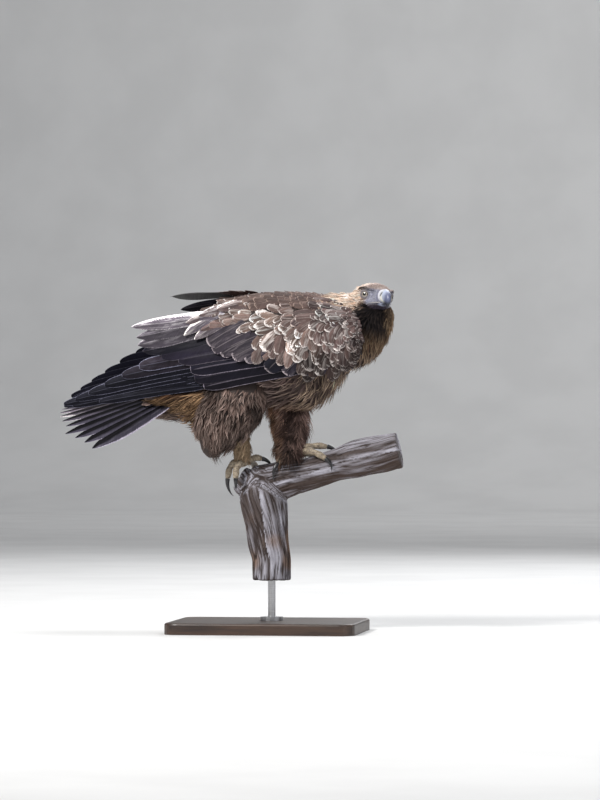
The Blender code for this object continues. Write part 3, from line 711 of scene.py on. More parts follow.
# Head, in its own directions from the point midway between the eyes
head = dict(
    middle=(0.2315, -0.02, 0.7038), turn=-59.0, roll=7.0,
    # forward, top, underside, half width
    rows=[(-0.062, 0.008, -0.02, 0.014), (-0.052, 0.018, -0.031, 0.027), (-0.032, 0.0258, -0.035, 0.036),
          (-0.012, 0.0278, -0.035, 0.0365), (0.006, 0.0264, -0.033, 0.0345), (0.02, 0.0216, -0.028, 0.027),
          (0.03, 0.0164, -0.0238, 0.0185), (0.036, 0.0138, -0.022, 0.013)],
    coat=0.0022, flesh=0.0034)
headTurn = math.radians(head["turn"])
headMiddle = np.array(head["middle"])
headAhead = np.array([math.cos(headTurn), math.sin(headTurn), 0.0])
headRoll = math.radians(head["roll"])  # its left side lies lower than its right
headLeft = np.array([-math.sin(headTurn) * math.cos(headRoll), math.cos(headTurn) * math.cos(headRoll),
                     -math.sin(headRoll)])
headUp = np.cross(headAhead, headLeft)


def headPoint(forward, left, up):
    forward, left, up = np.broadcast_arrays(forward, left, up)
    return (headMiddle + headAhead * forward[..., None] + headLeft * left[..., None]
            + headUp * up[..., None])


def inHead(points):
    # (forward, left, up) of points given in the room
    away = points - headMiddle
    return away @ headAhead, away @ headLeft, away @ headUp


brow = dict(reach=0.0035, up=0.01, forward=0.002, length=0.012, height=0.005)


def headRings(inset, count=48, corners=64):
    forward, top, under, half = smoothRows(head["rows"], count).T
    shrink = np.minimum(inset, half * 0.5)
    middle = 0.45 * top + 0.55 * under
    side, up = np.tile(headLeft, (count, 1)), np.tile(headUp, (count, 1))
    grid = rings(headPoint(forward, 0.0, middle), side, up, half - shrink, top - middle - shrink,
                 middle - under - shrink, corners, 2.3)
    near = hump(forward, brow["forward"], brow["length"])[:, None]
    _, aside, above = inHead(grid)
    rise = hump(above, brow["up"], brow["height"])
    return grid + headLeft * (brow["reach"] * near * rise * np.sign(aside))[..., None]


# Eyes
eyes = dict(radius=0.0145, aside=0.022, forward=0.0015, outTurn=44.0, opening=30.0, iris=26.5, pupil=13.5)


def eyeFrame(sign):
    # centre, axis that it looks along, and the two directions across it
    swing = math.radians(eyes["outTurn"])
    centre = headPoint(eyes["forward"], sign * eyes["aside"], 0.0)
    axis = sign * headLeft * math.cos(swing) + headAhead * math.sin(swing)
    return centre, axis, np.cross(headUp, axis), headUp


def direction(axis, level, up, angle, around):
    # the unit vector at an angle from the axis, turned round it from level towards up
    return (axis * np.cos(angle)[..., None] + level * (np.sin(angle) * np.cos(around))[..., None]
            + up * (np.sin(angle) * np.sin(around))[..., None])


def aperture(around):
    # half opening of the lids in radians at an angle round the eye: 0 is level, pi/2 is up
    wide = math.radians(eyes["opening"])
    return wide * (1.0 - 0.18 * ease(np.sin(around), 0.25, 1.0) - 0.22 * ease(-np.sin(around), 0.2, 1.0)
                   + 0.06 * np.abs(np.cos(around)) ** 6)


# Legs: (x, y, z, half length fore and aft, half width)
legs = {
    "thigh_right": [(-0.05, -0.066, 0.545, 0.034, 0.02), (-0.058, -0.07, 0.5, 0.066, 0.034),
                    (-0.068, -0.068, 0.452, 0.074, 0.036), (-0.092, -0.06, 0.41, 0.056, 0.032),
                    (-0.108, -0.052, 0.378, 0.034, 0.024), (-0.112, -0.05, 0.366, 0.018, 0.014)],
    "thigh_left": [(0.03, 0.058, 0.54, 0.032, 0.02), (0.036, 0.052, 0.495, 0.046, 0.032),
                   (0.041, 0.034, 0.44, 0.04, 0.034), (0.045, 0.01, 0.4, 0.034, 0.032),
                   (0.044, -0.014, 0.38, 0.024, 0.024), (0.043, -0.032, 0.362, 0.013, 0.01)],
    "shank_right": [(-0.058, -0.052, 0.44, 0.018, 0.016), (-0.052, -0.044, 0.405, 0.02, 0.018),
                    (-0.05, -0.03, 0.378, 0.017, 0.016), (-0.05, -0.02, 0.362, 0.014, 0.014)],
    "shank_left": [(0.05, 0.016, 0.416, 0.015, 0.014), (0.056, 0.006, 0.396, 0.016, 0.015),
                   (0.064, -0.002, 0.378, 0.014, 0.014)],
}
# where the trousers' feathers root: the same legs with an open hem at the bottom
trousers = {
    "right": [(-0.05, -0.06, 0.548, 0.038, 0.02), (-0.058, -0.064, 0.508, 0.06, 0.025),
              (-0.07, -0.066, 0.456, 0.068, 0.031), (-0.086, -0.06, 0.42, 0.054, 0.028),
              (-0.092, -0.055, 0.4, 0.032, 0.022)],
    "left": [(0.03, 0.056, 0.545, 0.034, 0.022), (0.036, 0.05, 0.495, 0.042, 0.028),
             (0.041, 0.033, 0.44, 0.036, 0.029), (0.045, 0.01, 0.402, 0.03, 0.027),
             (0.046, -0.01, 0.378, 0.024, 0.023)],
}


def legRings(rows, inset, count=40, corners=48):
    x, y, z, fore, half = smoothRows(rows, count).T
    middle = np.stack([x, y, z], -1)
    side, up = np.zeros_like(middle), np.zeros_like(middle)
    side[:, 0], up[:, 1] = 1.0, 1.0
    fore, half = fore - np.minimum(inset, fore * 0.5), half - np.minimum(inset, half * 0.5)
    return rings(middle, side, up, fore, half, half, corners)


# Folded wing, seen from the side
wing = dict(
    # x, top edge, lower edge, y of top, y of widest, y of lower
    rows=[(0.211, 0.64, 0.606, 0.086, 0.092, 0.088), (0.2, 0.664, 0.572, 0.07, 0.098, 0.09),
          (0.18, 0.682, 0.549, 0.058, 0.104, 0.092), (0.145, 0.698, 0.529, 0.05, 0.11, 0.096),
          (0.082, 0.709, 0.516, 0.04, 0.118, 0.104), (-0.003, 0.712, 0.508, 0.036, 0.122, 0.108),
          (-0.06, 0.705, 0.504, 0.036, 0.118, 0.106), (-0.105, 0.697, 0.502, 0.036, 0.112, 0.102),
          (-0.14, 0.688, 0.518, 0.036, 0.106, 0.098), (-0.204, 0.676, 0.56, 0.034, 0.092, 0.088),
          (-0.25, 0.664, 0.583, 0.036, 0.078, 0.078), (-0.286, 0.65, 0.604, 0.042, 0.062, 0.064)],
    # x, y of the outside of the primaries
    primaries=[(-0.09, 0.088), (-0.15, 0.088), (-0.24, 0.082), (-0.3, 0.072), (-0.346, 0.064),
               (-0.434, 0.052)],
    farShorter=0.062, farLift=0.052, farTuck=0.022, farPrimariesLift=0.024)
wingTable = smoothRows(wing["rows"], 240)


def wingAt(x):
    # top edge, lower edge and the three y values at x
    return [np.interp(-x, -wingTable[:, 0], wingTable[:, k]) for k in range(1, 6)]


def wingOutside(x, z):
    # y of the outside at (x, z): a quadratic from the top edge through the widest part to the lower edge,
    # and below that edge, or behind the wing, the outside of the primaries
    top, lower, yTop, yWide, yLow = wingAt(x)
    t = (top - z) / (top - lower)
    inside = np.clip(t, 0.0, 1.0)
    knee = 2 * yWide - 0.5 * (yTop + yLow)
    y = (1 - inside) ** 2 * yTop + inside**2 * yLow + 2 * inside * (1 - inside) * knee
    y = y - np.maximum(z - top, 0.0)
    primaryX, primaryY = np.array(wing["primaries"]).T
    outer = np.interp(-x, -primaryX, primaryY)
    return mix(y, outer, np.maximum(ease(t, 1.0, 1.7), ease(-x, 0.2, 0.3) * ease(t, 0.7, 1.3)))


def placeOnWing(sign):
    # a point of the wing laid out flat as (x, z, height), on the bird's right (-1) or left (+1);
    # the left wing's rear is shorter and higher, as the photo shows it
    def place(x, z, height):
        y = wingOutside(x, z) + height
        top, lower, *_ = wingAt(x)
        z = z - 0.9 * np.maximum(z - top, 0.0)  # over the top edge the wing turns in, level
        if sign > 0:
            t = np.clip((top - z) / (top - lower), 0.0, 2.0)
            back = np.clip(-x / 0.286, 0.0, 1.6)
            front = np.clip(x / 0.211, 0.0, 1.0)
            inner = 1.0 - ease(t, 1.0, 1.7)
            x = x + wing["farShorter"] * back * inner - wing["farTuck"] * front**2
            innerLift = wing["farLift"] * (1 - 0.5 * np.minimum(t, 1.0))
            z = z + back * mix(wing["farPrimariesLift"] * 0.6, innerLift, inner)
        return np.stack([x, sign * y, z], -1)
    return place


def wingSheet(sign, inset, xRange, vRange, rowCount=90, columnCount=48):
    x = np.linspace(*xRange, rowCount)[:, None] + np.zeros((1, columnCount))
    top, lower, *_ = wingAt(x)
    t = np.linspace(*vRange, columnCount)[None]
    grid = placeOnWing(sign)(x, top + (lower - top) * t, -inset + 0 * x)
    return makeSheet(grid, False, (0.0, float(sign), 0.0))


# Tail fan
tail = dict(root=(-0.15, 0.0, 0.527), length=0.31, pitch=13.0, roll=25.0, left=-24.0, right=38.0,
            feathers=12, inner=0.02, rounding=0.085, droop=0.1)


def placeOnTail(out, aside, height):
    # (out along the middle line, aside to the bird's right, height over the fan): the fan droops to its sides
    pitch, roll = math.radians(tail["pitch"]), math.radians(tail["roll"])
    back = np.array([-math.cos(pitch), 0.0, -math.sin(pitch)])
    rise = np.array([-math.sin(pitch), 0.0, math.cos(pitch)])
    right = np.array([0.0, -math.cos(roll), 0.0]) - rise * math.sin(roll)
    normal = unit(np.cross(back, right)[None])[0]
    normal = normal if normal[2] > 0 else -normal
    radius, angle = np.hypot(out, aside), np.degrees(np.arctan2(aside, out))
    outward = np.abs(2 * (angle - tail["left"]) / (tail["right"] - tail["left"]) - 1)
    lift = height - tail["droop"] * radius * np.minimum(outward, 1.15) ** 2
    return (np.array(tail["root"]) + back * np.asarray(out)[..., None] + right * np.asarray(aside)[..., None]
            + normal * lift[..., None])


# Colours of the coat: for each kind of feather its body, and its edge, which is a vane's rim or a lock's tip
coatTints = dict(
    mantle=[(84, 68, 64), (156, 136, 126)], covert=[(88, 70, 67), (204, 186, 178)],
    worn=[(118, 98, 88), (240, 232, 228)], greater=[(42, 36, 44), (172, 160, 164)],
    secondary=[(20, 19, 30), (134, 126, 138)], primary=[(17, 17, 27), (112, 112, 130)],
    tertial=[(96, 88, 98), (228, 222, 226)], tail=[(40, 38, 46), (112, 107, 118)],
    nape=[(192, 158, 134), (246, 228, 212)], crown=[(190, 166, 156), (244, 228, 222)],
    lore=[(140, 140, 160), (232, 232, 240)], cheek=[(40, 35, 44), (88, 78, 92)],
    throat=[(17, 15, 17), (60, 50, 46)], fringe=[(104, 80, 62), (206, 176, 140)],
    breast=[(70, 57, 55), (184, 160, 136)], belly=[(92, 76, 73), (166, 146, 138)],
    # the left leg's pair is the thigh's painted lighter, as painted light on the far leg, which lies in shade
    thigh=[(68, 54, 49), (138, 120, 112)], leftLeg=[(96, 78, 72), (190, 156, 130)],
    vent=[(60, 41, 28), (164, 132, 100)], shank=[(118, 98, 78), (160, 140, 114)])
coat = {kind + part: tint(*rgb)
        for kind, pair in coatTints.items() for part, rgb in zip(("Body", "Edge"), pair)}


def coatOf(kind):
    return coat[kind + "Body"], coat[kind + "Edge"]


def toward(body, edge, kind, share):
    # body and edge colours moved by a share from 0 to 1 towards those of another kind of feather
    share = np.asarray(share)[..., None]
    return mix(body, coat[kind + "Body"], share), mix(edge, coat[kind + "Edge"], share)


makeCamera()
makeLights()
print("camera and lights set")


# Skin: the lofts joined by voxels, smoothed, and worked round the eyes
skin = dict(
    voxel=0.0034, smoothing=8, faceReach=0.052, eyeReach=0.022,
    # the bony shelf over each eye: forward, aside, up, radius
    browBar=[(0.027, 0.017, 0.0086, 0.002), (0.017, 0.025, 0.0112, 0.0038), (0.006, 0.0312, 0.0124, 0.0046),
             (-0.006, 0.0332, 0.0118, 0.0044), (-0.018, 0.032, 0.0092, 0.0032)])


def fleshLofts():
    parts = [closedLoft(trunkRings(trunk["flesh"], 40, 40)), closedLoft(neckRings(neck["flesh"], 30, 40)),
             closedLoft(headRings(head["flesh"], 40, 48))]
    for name, rows in legs.items():
        parts.append(closedLoft(legRings(rows, 0.011 if name.startswith("thigh") else 0.003, 20, 24)))
    for sign in (-1, 1):
        forward, aside, up, radius = smoothRows(skin["browBar"], 24).T
        parts.append(closedLoft(tubeAlong(headPoint(forward, sign * aside, up), radius, 16)))
        x = np.linspace(0.196, -0.14, 24)[:, None] + np.zeros((1, 12))
        top, lower, *_ = wingAt(x)
        t = np.linspace(0.05, 0.8, 12)[None]
        place = placeOnWing(sign)
        outside = place(x, top + (lower - top) * t, -0.013 + 0 * x)
        inside = place(x, top + (lower - top) * t, -0.024 + 0 * x)
        parts.append(closedLoft(np.concatenate([outside, inside[:, ::-1]], axis=1)))
    return joinLofts(parts)


def applied(thing):
    # the mesh with its modifiers applied
    graph = bpy.context.evaluated_depsgraph_get()
    mesh = bpy.data.meshes.new_from_object(thing.evaluated_get(graph))
    bpy.data.objects.remove(thing, do_unlink=True)
    return mesh


def voxelMesh(name, points, triangles, voxel, smoothing):
    thing = bpy.data.objects.new(name + "Draft", meshFrom(name, points, triangles))
    bpy.context.scene.collection.objects.link(thing)
    remesh = thing.modifiers.new("voxels", "REMESH")
    remesh.mode = "VOXEL"
    remesh.voxel_size = voxel
    remesh.use_smooth_shade = True
    relax = thing.modifiers.new("relax", "SMOOTH")
    relax.factor, relax.iterations = 0.5, smoothing
    return applied(thing)


def refineFace(mesh):
    # halves the edges near the face, and again near the eyes, and relaxes what was cut
    bm = bmesh.new()
    bm.from_mesh(mesh)
    for middles, reach in (([headPoint(0.006, 0.0, 0.0)], skin["faceReach"]),
                           ([eyeFrame(-1)[0], eyeFrame(1)[0]], skin["eyeReach"])):
        places = np.array([vert.co for vert in bm.verts])
        near = np.min([np.linalg.norm(places - middle, axis=1) for middle in middles], axis=0) < reach
        edges = [edge for edge in bm.edges if near[edge.verts[0].index] and near[edge.verts[1].index]]
        made = bmesh.ops.subdivide_edges(bm, edges=edges, cuts=1, use_grid_fill=True)
        fresh = list({vert for item in made["geom_inner"] if isinstance(item, bmesh.types.BMEdge)
                      for vert in item.verts})
        for _ in range(3):
            bmesh.ops.smooth_vert(bm, verts=fresh, factor=0.5,
                                  use_axis_x=True, use_axis_y=True, use_axis_z=True)
        bm.verts.index_update()
    bmesh.ops.triangulate(bm, faces=bm.faces)
    bm.to_mesh(mesh)
    bm.free()


def shapeLids(points):
    # Round each eye, in polar places about its axis: inside the opening the skin is pushed behind the ball,
    # and everywhere else it stays outside the ball, close over it within the lids' reach
    for sign in (-1, 1):
        centre, axis, level, up = eyeFrame(sign)
        away = points - centre
        radius = np.linalg.norm(away, axis=1)
        along, aside, rise = away @ axis, away @ level, away @ up
        angle = np.arctan2(np.hypot(aside, rise), along)
        opening = aperture(np.arctan2(rise, aside))
        past = angle - opening
        ball = eyes["radius"]
        # within the lids' reach the skin keeps close over the ball, except where the brow hangs over it
        cover = mix(np.clip(radius, ball * 1.02, ball * 1.1), radius, np.maximum(
            ease(past, 0.25, 0.55), ease(rise, ball * 0.5, ball * 0.66)))
        wanted = np.where(past < 0, ball * 0.8, np.maximum(cover, ball * 1.02))
        near = (radius < ball * 1.7) & (angle < 1.5)
        moved = centre + away / np.maximum(radius, 1e-6)[:, None] * wanted[:, None]
        points = np.where(near[:, None], moved, points)
    return points


def headColours(points):
    # body and edge colours on the head: gold behind the eyes, a dark throat and cheek, grey lores
    forward, _, up = inHead(points)
    body, edge = toward(*coatOf("crown"), "nape", ease(-forward + 0.25 * up, -0.004, 0.024))
    dusk = (hump(forward, 0.016, 0.012) * ease(up, 0.008, 0.015))[..., None]  # streaks over the forehead
    body, edge = mix(body, coat["cheekBody"], 0.5 * dusk), mix(edge, coat["crownBody"], 0.4 * dusk)
    lore = ease(forward, 0.006, 0.018) * ease(up, -0.022, -0.014) * (1.0 - ease(up, 0.009, 0.014))
    body, edge = toward(body, edge, "lore", lore)
    cheek = 1.0 - ease(up - 0.1 * forward - 0.005 * (1.0 - ease(forward, 0.0, 0.02)), -0.022, -0.014)
    body, edge = toward(body, edge, "cheek", cheek)
    return toward(body, edge, "throat", 1.0 - ease(up, -0.034, -0.024))


def napeShare(x, z):
    # 1 on the gold of the nape, 0 below it, across a line that rises towards the throat
    return ease(z - 0.8 * (x - 0.19), 0.662, 0.68)


def bodyColours(points):
    # body and edge colours on the rest, by height and place along the bird
    x, z = points[..., 0], points[..., 2]
    body, edge = (colour + 0 * points for colour in coatOf("mantle"))
    low = 1.0 - ease(z, 0.5, 0.56)
    throat = ease(x - 0.25 * (z - 0.64), 0.165, 0.2) * ease(z, 0.57, 0.625)
    for kind, share in (
            ("belly", low),
            ("breast", ease(x - 0.5 * (z - 0.6), 0.08, 0.14) * (1.0 - ease(z, 0.6, 0.66))),
            ("vent", ease(-x, 0.1, 0.17) * low),
            ("throat", throat),
            ("fringe", throat * np.maximum(ease(x, 0.25, 0.266), 0.85 * (1.0 - ease(z, 0.6, 0.65)))),
            ("nape", ease(x, 0.125, 0.16) * napeShare(x, z))):
        body, edge = toward(body, edge, kind, share)
    leg = (1.0 - ease(z, 0.46, 0.49))[..., None]
    # the left leg, which lies in shade, takes the thigh's colours painted lighter, as painted light
    legBody, legEdge = toward(*coatOf("thigh"), "leftLeg", ease(x, -0.01, 0.01))
    return mix(body, legBody, leg), mix(edge, legEdge, leg)


def coatColours(points):
    # one colouring for skin and feathers alike, the head's where the head is
    forward, left, up = inHead(points)
    body, edge = bodyColours(points)
    headBody, headEdge = headColours(points)
    away = np.sqrt(((forward + 0.012) / 0.052) ** 2 + (left / 0.042) ** 2 + ((up + 0.004) / 0.036) ** 2)
    share = (1.0 - ease(away, 0.95, 1.25))[..., None]
    return mix(body, headBody, share), mix(edge, headEdge, share)


# past the opening (radians), radius as a share of the ball's
lids = dict(profile=[(-0.02, 0.985), (-0.035, 1.02), (-0.01, 1.05), (0.05, 1.065), (0.11, 1.055), (0.15, 1.03),
                     (0.19, 1.04), (0.27, 1.065), (0.37, 1.04), (0.46, 0.96)])


def lidGrid(sign):
    # Lids: from inside the rim, over a rounded edge and out to the face
    centre, axis, level, up = eyeFrame(sign)
    around = np.linspace(0.0, 2 * math.pi, 72, endpoint=False)[None]
    past, radius = np.array(lids["profile"]).T[..., None]
    radius = radius * eyes["radius"]
    hood = 1.0 + 0.07 * ease(np.sin(around), 0.1, 0.9) * ease(past, -0.03, 0.1)
    angle = aperture(around) + past
    grid = centre + direction(axis, level, up, angle, around) * (radius * hood)[..., None]
    back = centre + (grid[::-1] - centre) * 0.93
    return np.concatenate([grid, back])


def torusTriangles(rowCount, columnCount):
    # a grid closed both ways
    row, column = np.arange(rowCount)[:, None], np.arange(columnCount)[None]
    nextRow, nextColumn = (row + 1) % rowCount, (column + 1) % columnCount
    a, b = row * columnCount + column, row * columnCount + nextColumn
    c, d = nextRow * columnCount + column, nextRow * columnCount + nextColumn
    return np.concatenate([np.stack([a, b, d], -1), np.stack([a, d, c], -1)]).reshape(-1, 3)


def makeSkin():
    points, triangles = fleshLofts()
    mesh = voxelMesh("skin", points, triangles, skin["voxel"], skin["smoothing"])
    refineFace(mesh)
    parts = [(shapeLids(meshVectors(mesh).astype(float)), meshCorners(mesh).reshape(-1, 3))]
    for sign in (-1, 1):
        grid = lidGrid(sign)
        rim = grid.reshape(-1, 3)
        rimTriangles = torusTriangles(*grid.shape[:2])
        if volumeOf(rim - rim.mean(0), rimTriangles) < 0:
            rimTriangles = rimTriangles[:, ::-1]
        parts.append((rim, rimTriangles))
    bpy.data.meshes.remove(mesh)
    points, triangles = joinLofts(parts)
    body, edge = coatColours(points)
    colours = mix(body, edge, 0.15) * 0.7
    forward, left, up = inHead(points)
    shade = hump(forward, 0.0, 0.022) * ease(np.abs(left), 0.022, 0.028) * hump(up, 0.0085, 0.0032)
    colours = mix(colours, tint(34, 28, 30), shade[:, None])  # painted shadow under the brow shelf, over the eye
    # painted shade: the skin of the wings painted dark, so gaps between their feathers look like shadow
    wingGapShade = ease(np.abs(points[:, 1]), 0.045, 0.07) * (forward**2 + left**2 + up**2 > 0.07**2)
    colours = mix(colours, tint(48, 38, 35), wingGapShade[:, None])
    colours[len(parts[0][0]):] = tint(112, 106, 108)  # the lids
    finish = skinFinish("skinFinish", 0.72, 420.0, 0.0005)
    paintedPiece("skin", points, triangles, colours, finish,
                 ("head", "neck", "trunk", "wing_right", "wing_left", "thigh_right", "thigh_left",
                  "shank_right", "shank_left"))
    print("skin:", len(triangles), "triangles")


makeSkin()


# Eyes: a ball with a slight bulge of cornea, painted by the angle from its axis
def makeEye(name, sign):
    centre, axis, level, up = eyeFrame(sign)
    angle = np.linspace(0.0, math.pi, 40)[1:-1, None]
    around = np.linspace(0.0, 2 * math.pi, 48, endpoint=False)[None]
    radius = eyes["radius"] * (1.0 + 0.035 * hump(angle, 0.0, 0.42))
    points, triangles = closedLoft(centre + radius[..., None] * direction(axis, level, up, angle, around))
    points[0], points[-1] = centre + axis * eyes["radius"] * 1.035, centre - axis * eyes["radius"]
    mesh = meshFrom(name, points, triangles)
    away = unit(points - centre)
    fromAxis = np.degrees(np.arccos(np.clip(away @ axis, -1, 1)))
    turned = np.arctan2(away @ up, away @ level)
    storeVectors(mesh, "eyePlace", np.stack([fromAxis, np.cos(turned) * 3, np.sin(turned) * 3], -1))
    addPiece(name, mesh, eyeFinish, (name,))


def makeEyeFinish():
    # pupil, fibres of the iris drawn out from it, a dark ring at its edge, and dark grey round that
    material, tree, shader = newMaterial("eyeFinish", 0.06, Coat_Weight=1.0, Coat_Roughness=0.02)
    place = attribute(tree, "eyePlace").outputs["Vector"]
    angle = addNode(tree, "SeparateXYZ", {0: place}).outputs[0]
    fibre = noise(tree, stretched(tree, place, (0.05, 5.0, 5.0)), 1.0, 3.0, 0.6)
    iris = blendColour(tree, ramp(tree, fibre, 0.3, 0.7), tint(108, 96, 84), tint(174, 165, 151))
    iris = blendColour(tree, ramp(tree, angle, eyes["iris"] - 4.0, eyes["iris"]), iris, tint(38, 30, 26))
    outsidePupil = ramp(tree, angle, eyes["pupil"] - 0.7, eyes["pupil"] + 0.7)
    colour = blendColour(tree, outsidePupil, (0.002, 0.002, 0.003), iris)
    colour = blendColour(tree, ramp(tree, angle, eyes["iris"], eyes["iris"] + 2.0), colour, tint(44, 38, 38))
    tree.links.new(colour, shader.inputs["Base Color"])
    return material


eyeFinish = makeEyeFinish()
makeEye("eye_right", -1)
makeEye("eye_left", 1)
print("eyes set")

# Bill
bill = dict(
    # forward, up, above the middle line, below it, half width, turned down in degrees
    upper=[(0.0325, 0.0002, 0.013, 0.0142, 0.0112, 0), (0.0366, 0.0002, 0.0134, 0.0144, 0.0108, 0),
           (0.047, -0.0006, 0.0136, 0.0138, 0.0099, 6), (0.056, -0.0036, 0.0126, 0.0108, 0.008, 24),
           (0.0624, -0.0112, 0.0094, 0.0074, 0.006, 55), (0.064, -0.0184, 0.0054, 0.005, 0.004, 84),
           (0.0624, -0.0256, 0.0012, 0.0012, 0.0012, 104)],
    lower=[(0.0325, -0.0182, 0.0032, 0.0034, 0.0098, 0), (0.047, -0.018, 0.003, 0.0034, 0.008, 0),
           (0.054, -0.0176, 0.002, 0.0024, 0.005, 0)],
    cereEnd=0.049, nostril=(0.0448, 0.0022), nostrilSize=(0.0022, 0.0042))


def billRings(rows, count, corners, squareness):
    forward, up, above, below, half, turned = smoothRows(rows, count).T
    turned = np.radians(turned)[:, None]
    rise = headUp * np.cos(turned) + headAhead * np.sin(turned)
    side = np.tile(headLeft, (count, 1))
    return rings(headPoint(forward, 0.0, up), side, rise, half, above, below, corners, squareness)


def nostrilPit(forward, left, up):
    # 1 in the slanting nostril on either side of the bill, falling away as exp(-d^4)
    ahead, above = forward - bill["nostril"][0], up - bill["nostril"][1]
    long, tall = bill["nostrilSize"]
    slant = ahead - 0.45 * above
    return np.exp(-((slant / long) ** 2 + (above / tall) ** 2) ** 2) * (np.abs(left) > 0.004)


def makeBill():
    grid = billRings(bill["upper"], 64, 56, 1.85)
    forward, left, up = inHead(grid)
    # the cere stands a little proud and ends in a groove; the nostrils are sunk in it
    around = grid - grid.mean(axis=1, keepdims=True)
    swell = 0.03 * (1.0 - ease(forward, bill["cereEnd"] - 0.0015, bill["cereEnd"] + 0.0005))
    groove = -0.035 * hump(forward, bill["cereEnd"], 0.0009)
    grid = grid + around * (swell + groove - 0.26 * nostrilPit(forward, left, up))[..., None]
    points, triangles = closedLoft(grid)
    forward, left, up = inHead(points)
    horn = mix(tint(176, 184, 204), tint(98, 104, 132), ease(forward - 0.2 * up, 0.052, 0.065)[:, None])
    horn = mix(horn, tint(36, 36, 44), ease(-up, 0.008, 0.019)[:, None])
    # painted shade: the bill's left side, turned from the light, darker by up to 0.35
    horn = horn * (1.0 - 0.35 * ease(left, 0.0, 0.007))[:, None]
    cere = mix(tint(222, 220, 206), tint(196, 200, 206), ease(up, -0.012, 0.008)[:, None])
    cere = mix(coat["loreEdge"] * 0.75, cere, ease(forward, 0.0395, 0.0445)[:, None])
    colours = mix(cere, horn, ease(forward, bill["cereEnd"] - 0.001, bill["cereEnd"] + 0.0015)[:, None])
    colours = mix(colours, tint(14, 12, 14), np.clip(3.0 * nostrilPit(forward, left, up), 0, 1)[:, None])
    hornFinish = skinFinish("hornFinish", 0.34, 260.0, 0.0002, 0.5, 0.08)
    paintedPiece("bill_upper", points, triangles, colours, hornFinish)

    parts = [closedLoft(billRings(bill["lower"], 30, 36, 2.0))]
    for sign in (-1, 1):  # the fleshy corner of the mouth, back along the jaw to below the eye
        s = np.linspace(0.0, 1.0, 24)
        aside = sign * mix(0.0086, 0.0262, s**0.9)
        path = headPoint(mix(0.045, 0.018, s), aside, -0.0148 - 0.0036 * s**1.5)
        thick = 0.0014 * np.sqrt(1.02 - s) * (0.6 + 0.4 * ease(s, 0, 0.3))
        parts.append(closedLoft(tubeAlong(path, thick, 10)))
    points, triangles = joinLofts(parts)
    colours = mix(tint(150, 156, 176), tint(52, 54, 66), ease(inHead(points)[0], 0.044, 0.053)[:, None])
    colours[len(parts[0][0]):] = tint(160, 156, 156)  # the corners of the mouth
    paintedPiece("bill_lower", points, triangles, colours, hornFinish)


makeBill()
print("bill set")

# Feet and claws
feet = dict(
    root=0.008, tip=0.0058, scutes=0.0042,
    right=dict(ball=(-0.05, -0.02, 0.358),
               middle=[(-0.038, -0.012, 0.362), (-0.024, -0.006, 0.366), (-0.012, -0.003, 0.364)],
               outer=[(-0.056, -0.038, 0.352), (-0.06, -0.051, 0.338), (-0.06, -0.056, 0.322)],
               inner=[(-0.04, 0.006, 0.359), (-0.034, 0.032, 0.35), (-0.03, 0.048, 0.334)],
               hind=[(-0.066, -0.016, 0.356), (-0.08, -0.012, 0.342), (-0.084, -0.01, 0.322)]),
    left=dict(ball=(0.067, -0.004, 0.375),
              middle=[(0.09, -0.018, 0.38), (0.112, -0.029, 0.373), (0.128, -0.037, 0.364)],
              outer=[(0.082, 0.02, 0.376), (0.092, 0.036, 0.36), (0.098, 0.044, 0.342)],
              inner=[(0.084, 0.002, 0.388), (0.106, 0.008, 0.391), (0.124, 0.012, 0.389)],
              hind=[(0.05, -0.012, 0.373), (0.036, -0.024, 0.367), (0.026, -0.034, 0.355)]),
    claws=dict(middle=0.032, outer=0.026, inner=0.036, hind=0.042), clawRoot=0.0048, clawCurl=70.0)


def toeLoft(ball, knots):
    # rings along the toe, swollen at its joints, with a step at the edge of each scute over its upper side
    path = smoothRows([ball, *knots], 84)
    run = np.concatenate([[0.0], np.cumsum(np.linalg.norm(np.diff(path, axis=0), axis=1))])
    s = run / run[-1]
    radii = mix(feet["root"], feet["tip"], s) * (1.0 + 0.1 * np.cos(s * math.pi * 5.0 + 0.6))
    radii = radii * np.where(s > 0.95, np.sqrt(np.clip(1.04 - ((s - 0.95) / 0.05) ** 2, 0.03, 1)), 1.0)
    grid = tubeAlong(path, radii, 28)
    middle = path[:, None]
    away = grid - middle
    topness = ease(unit(away)[..., 2], -0.1, 0.5)
    scute = np.mod(run / feet["scutes"], 1.0)[:, None]
    step = 0.1 * (1.0 - scute) * topness - 0.08 * hump(scute, 1.0, 0.1) * topness
    pebble = 0.09 * (cloud(grid, 0.0018, 3) - 0.5) * (1.0 - topness)
    return middle + away * (1.0 + step + pebble)[..., None]


def makeFoot(side):
    foot = feet[side]
    parts = [closedLoft(toeLoft(foot["ball"], foot[toe])) for toe in feet["claws"]]
    lump = np.array(foot["ball"]) + np.array([0, 0, -0.001])
    angle = np.linspace(0, math.pi, 18)[1:-1, None]
    around = np.linspace(0, 2 * math.pi, 28, endpoint=False)[None]
    ball = lump + 0.0125 * np.stack([np.sin(angle) * np.cos(around), np.sin(angle) * np.sin(around),
                                     0.8 * np.cos(angle) + 0 * around], -1)
    parts.append(closedLoft(ball))
    points, triangles = joinLofts(parts)
    colours = mix(tint(128, 114, 96), tint(184, 170, 148), cloud(points, 0.004, 5)[:, None])
    colours = mix(colours, tint(84, 72, 62), (1.1 * cloud(points, 0.0022, 8) ** 2)[:, None])
    paintedPiece("foot_" + side, points, triangles, colours, toeFinish)
    for toe, length in feet["claws"].items():
        makeClaw(f"claw_{side}_{toe}", foot[toe], length)


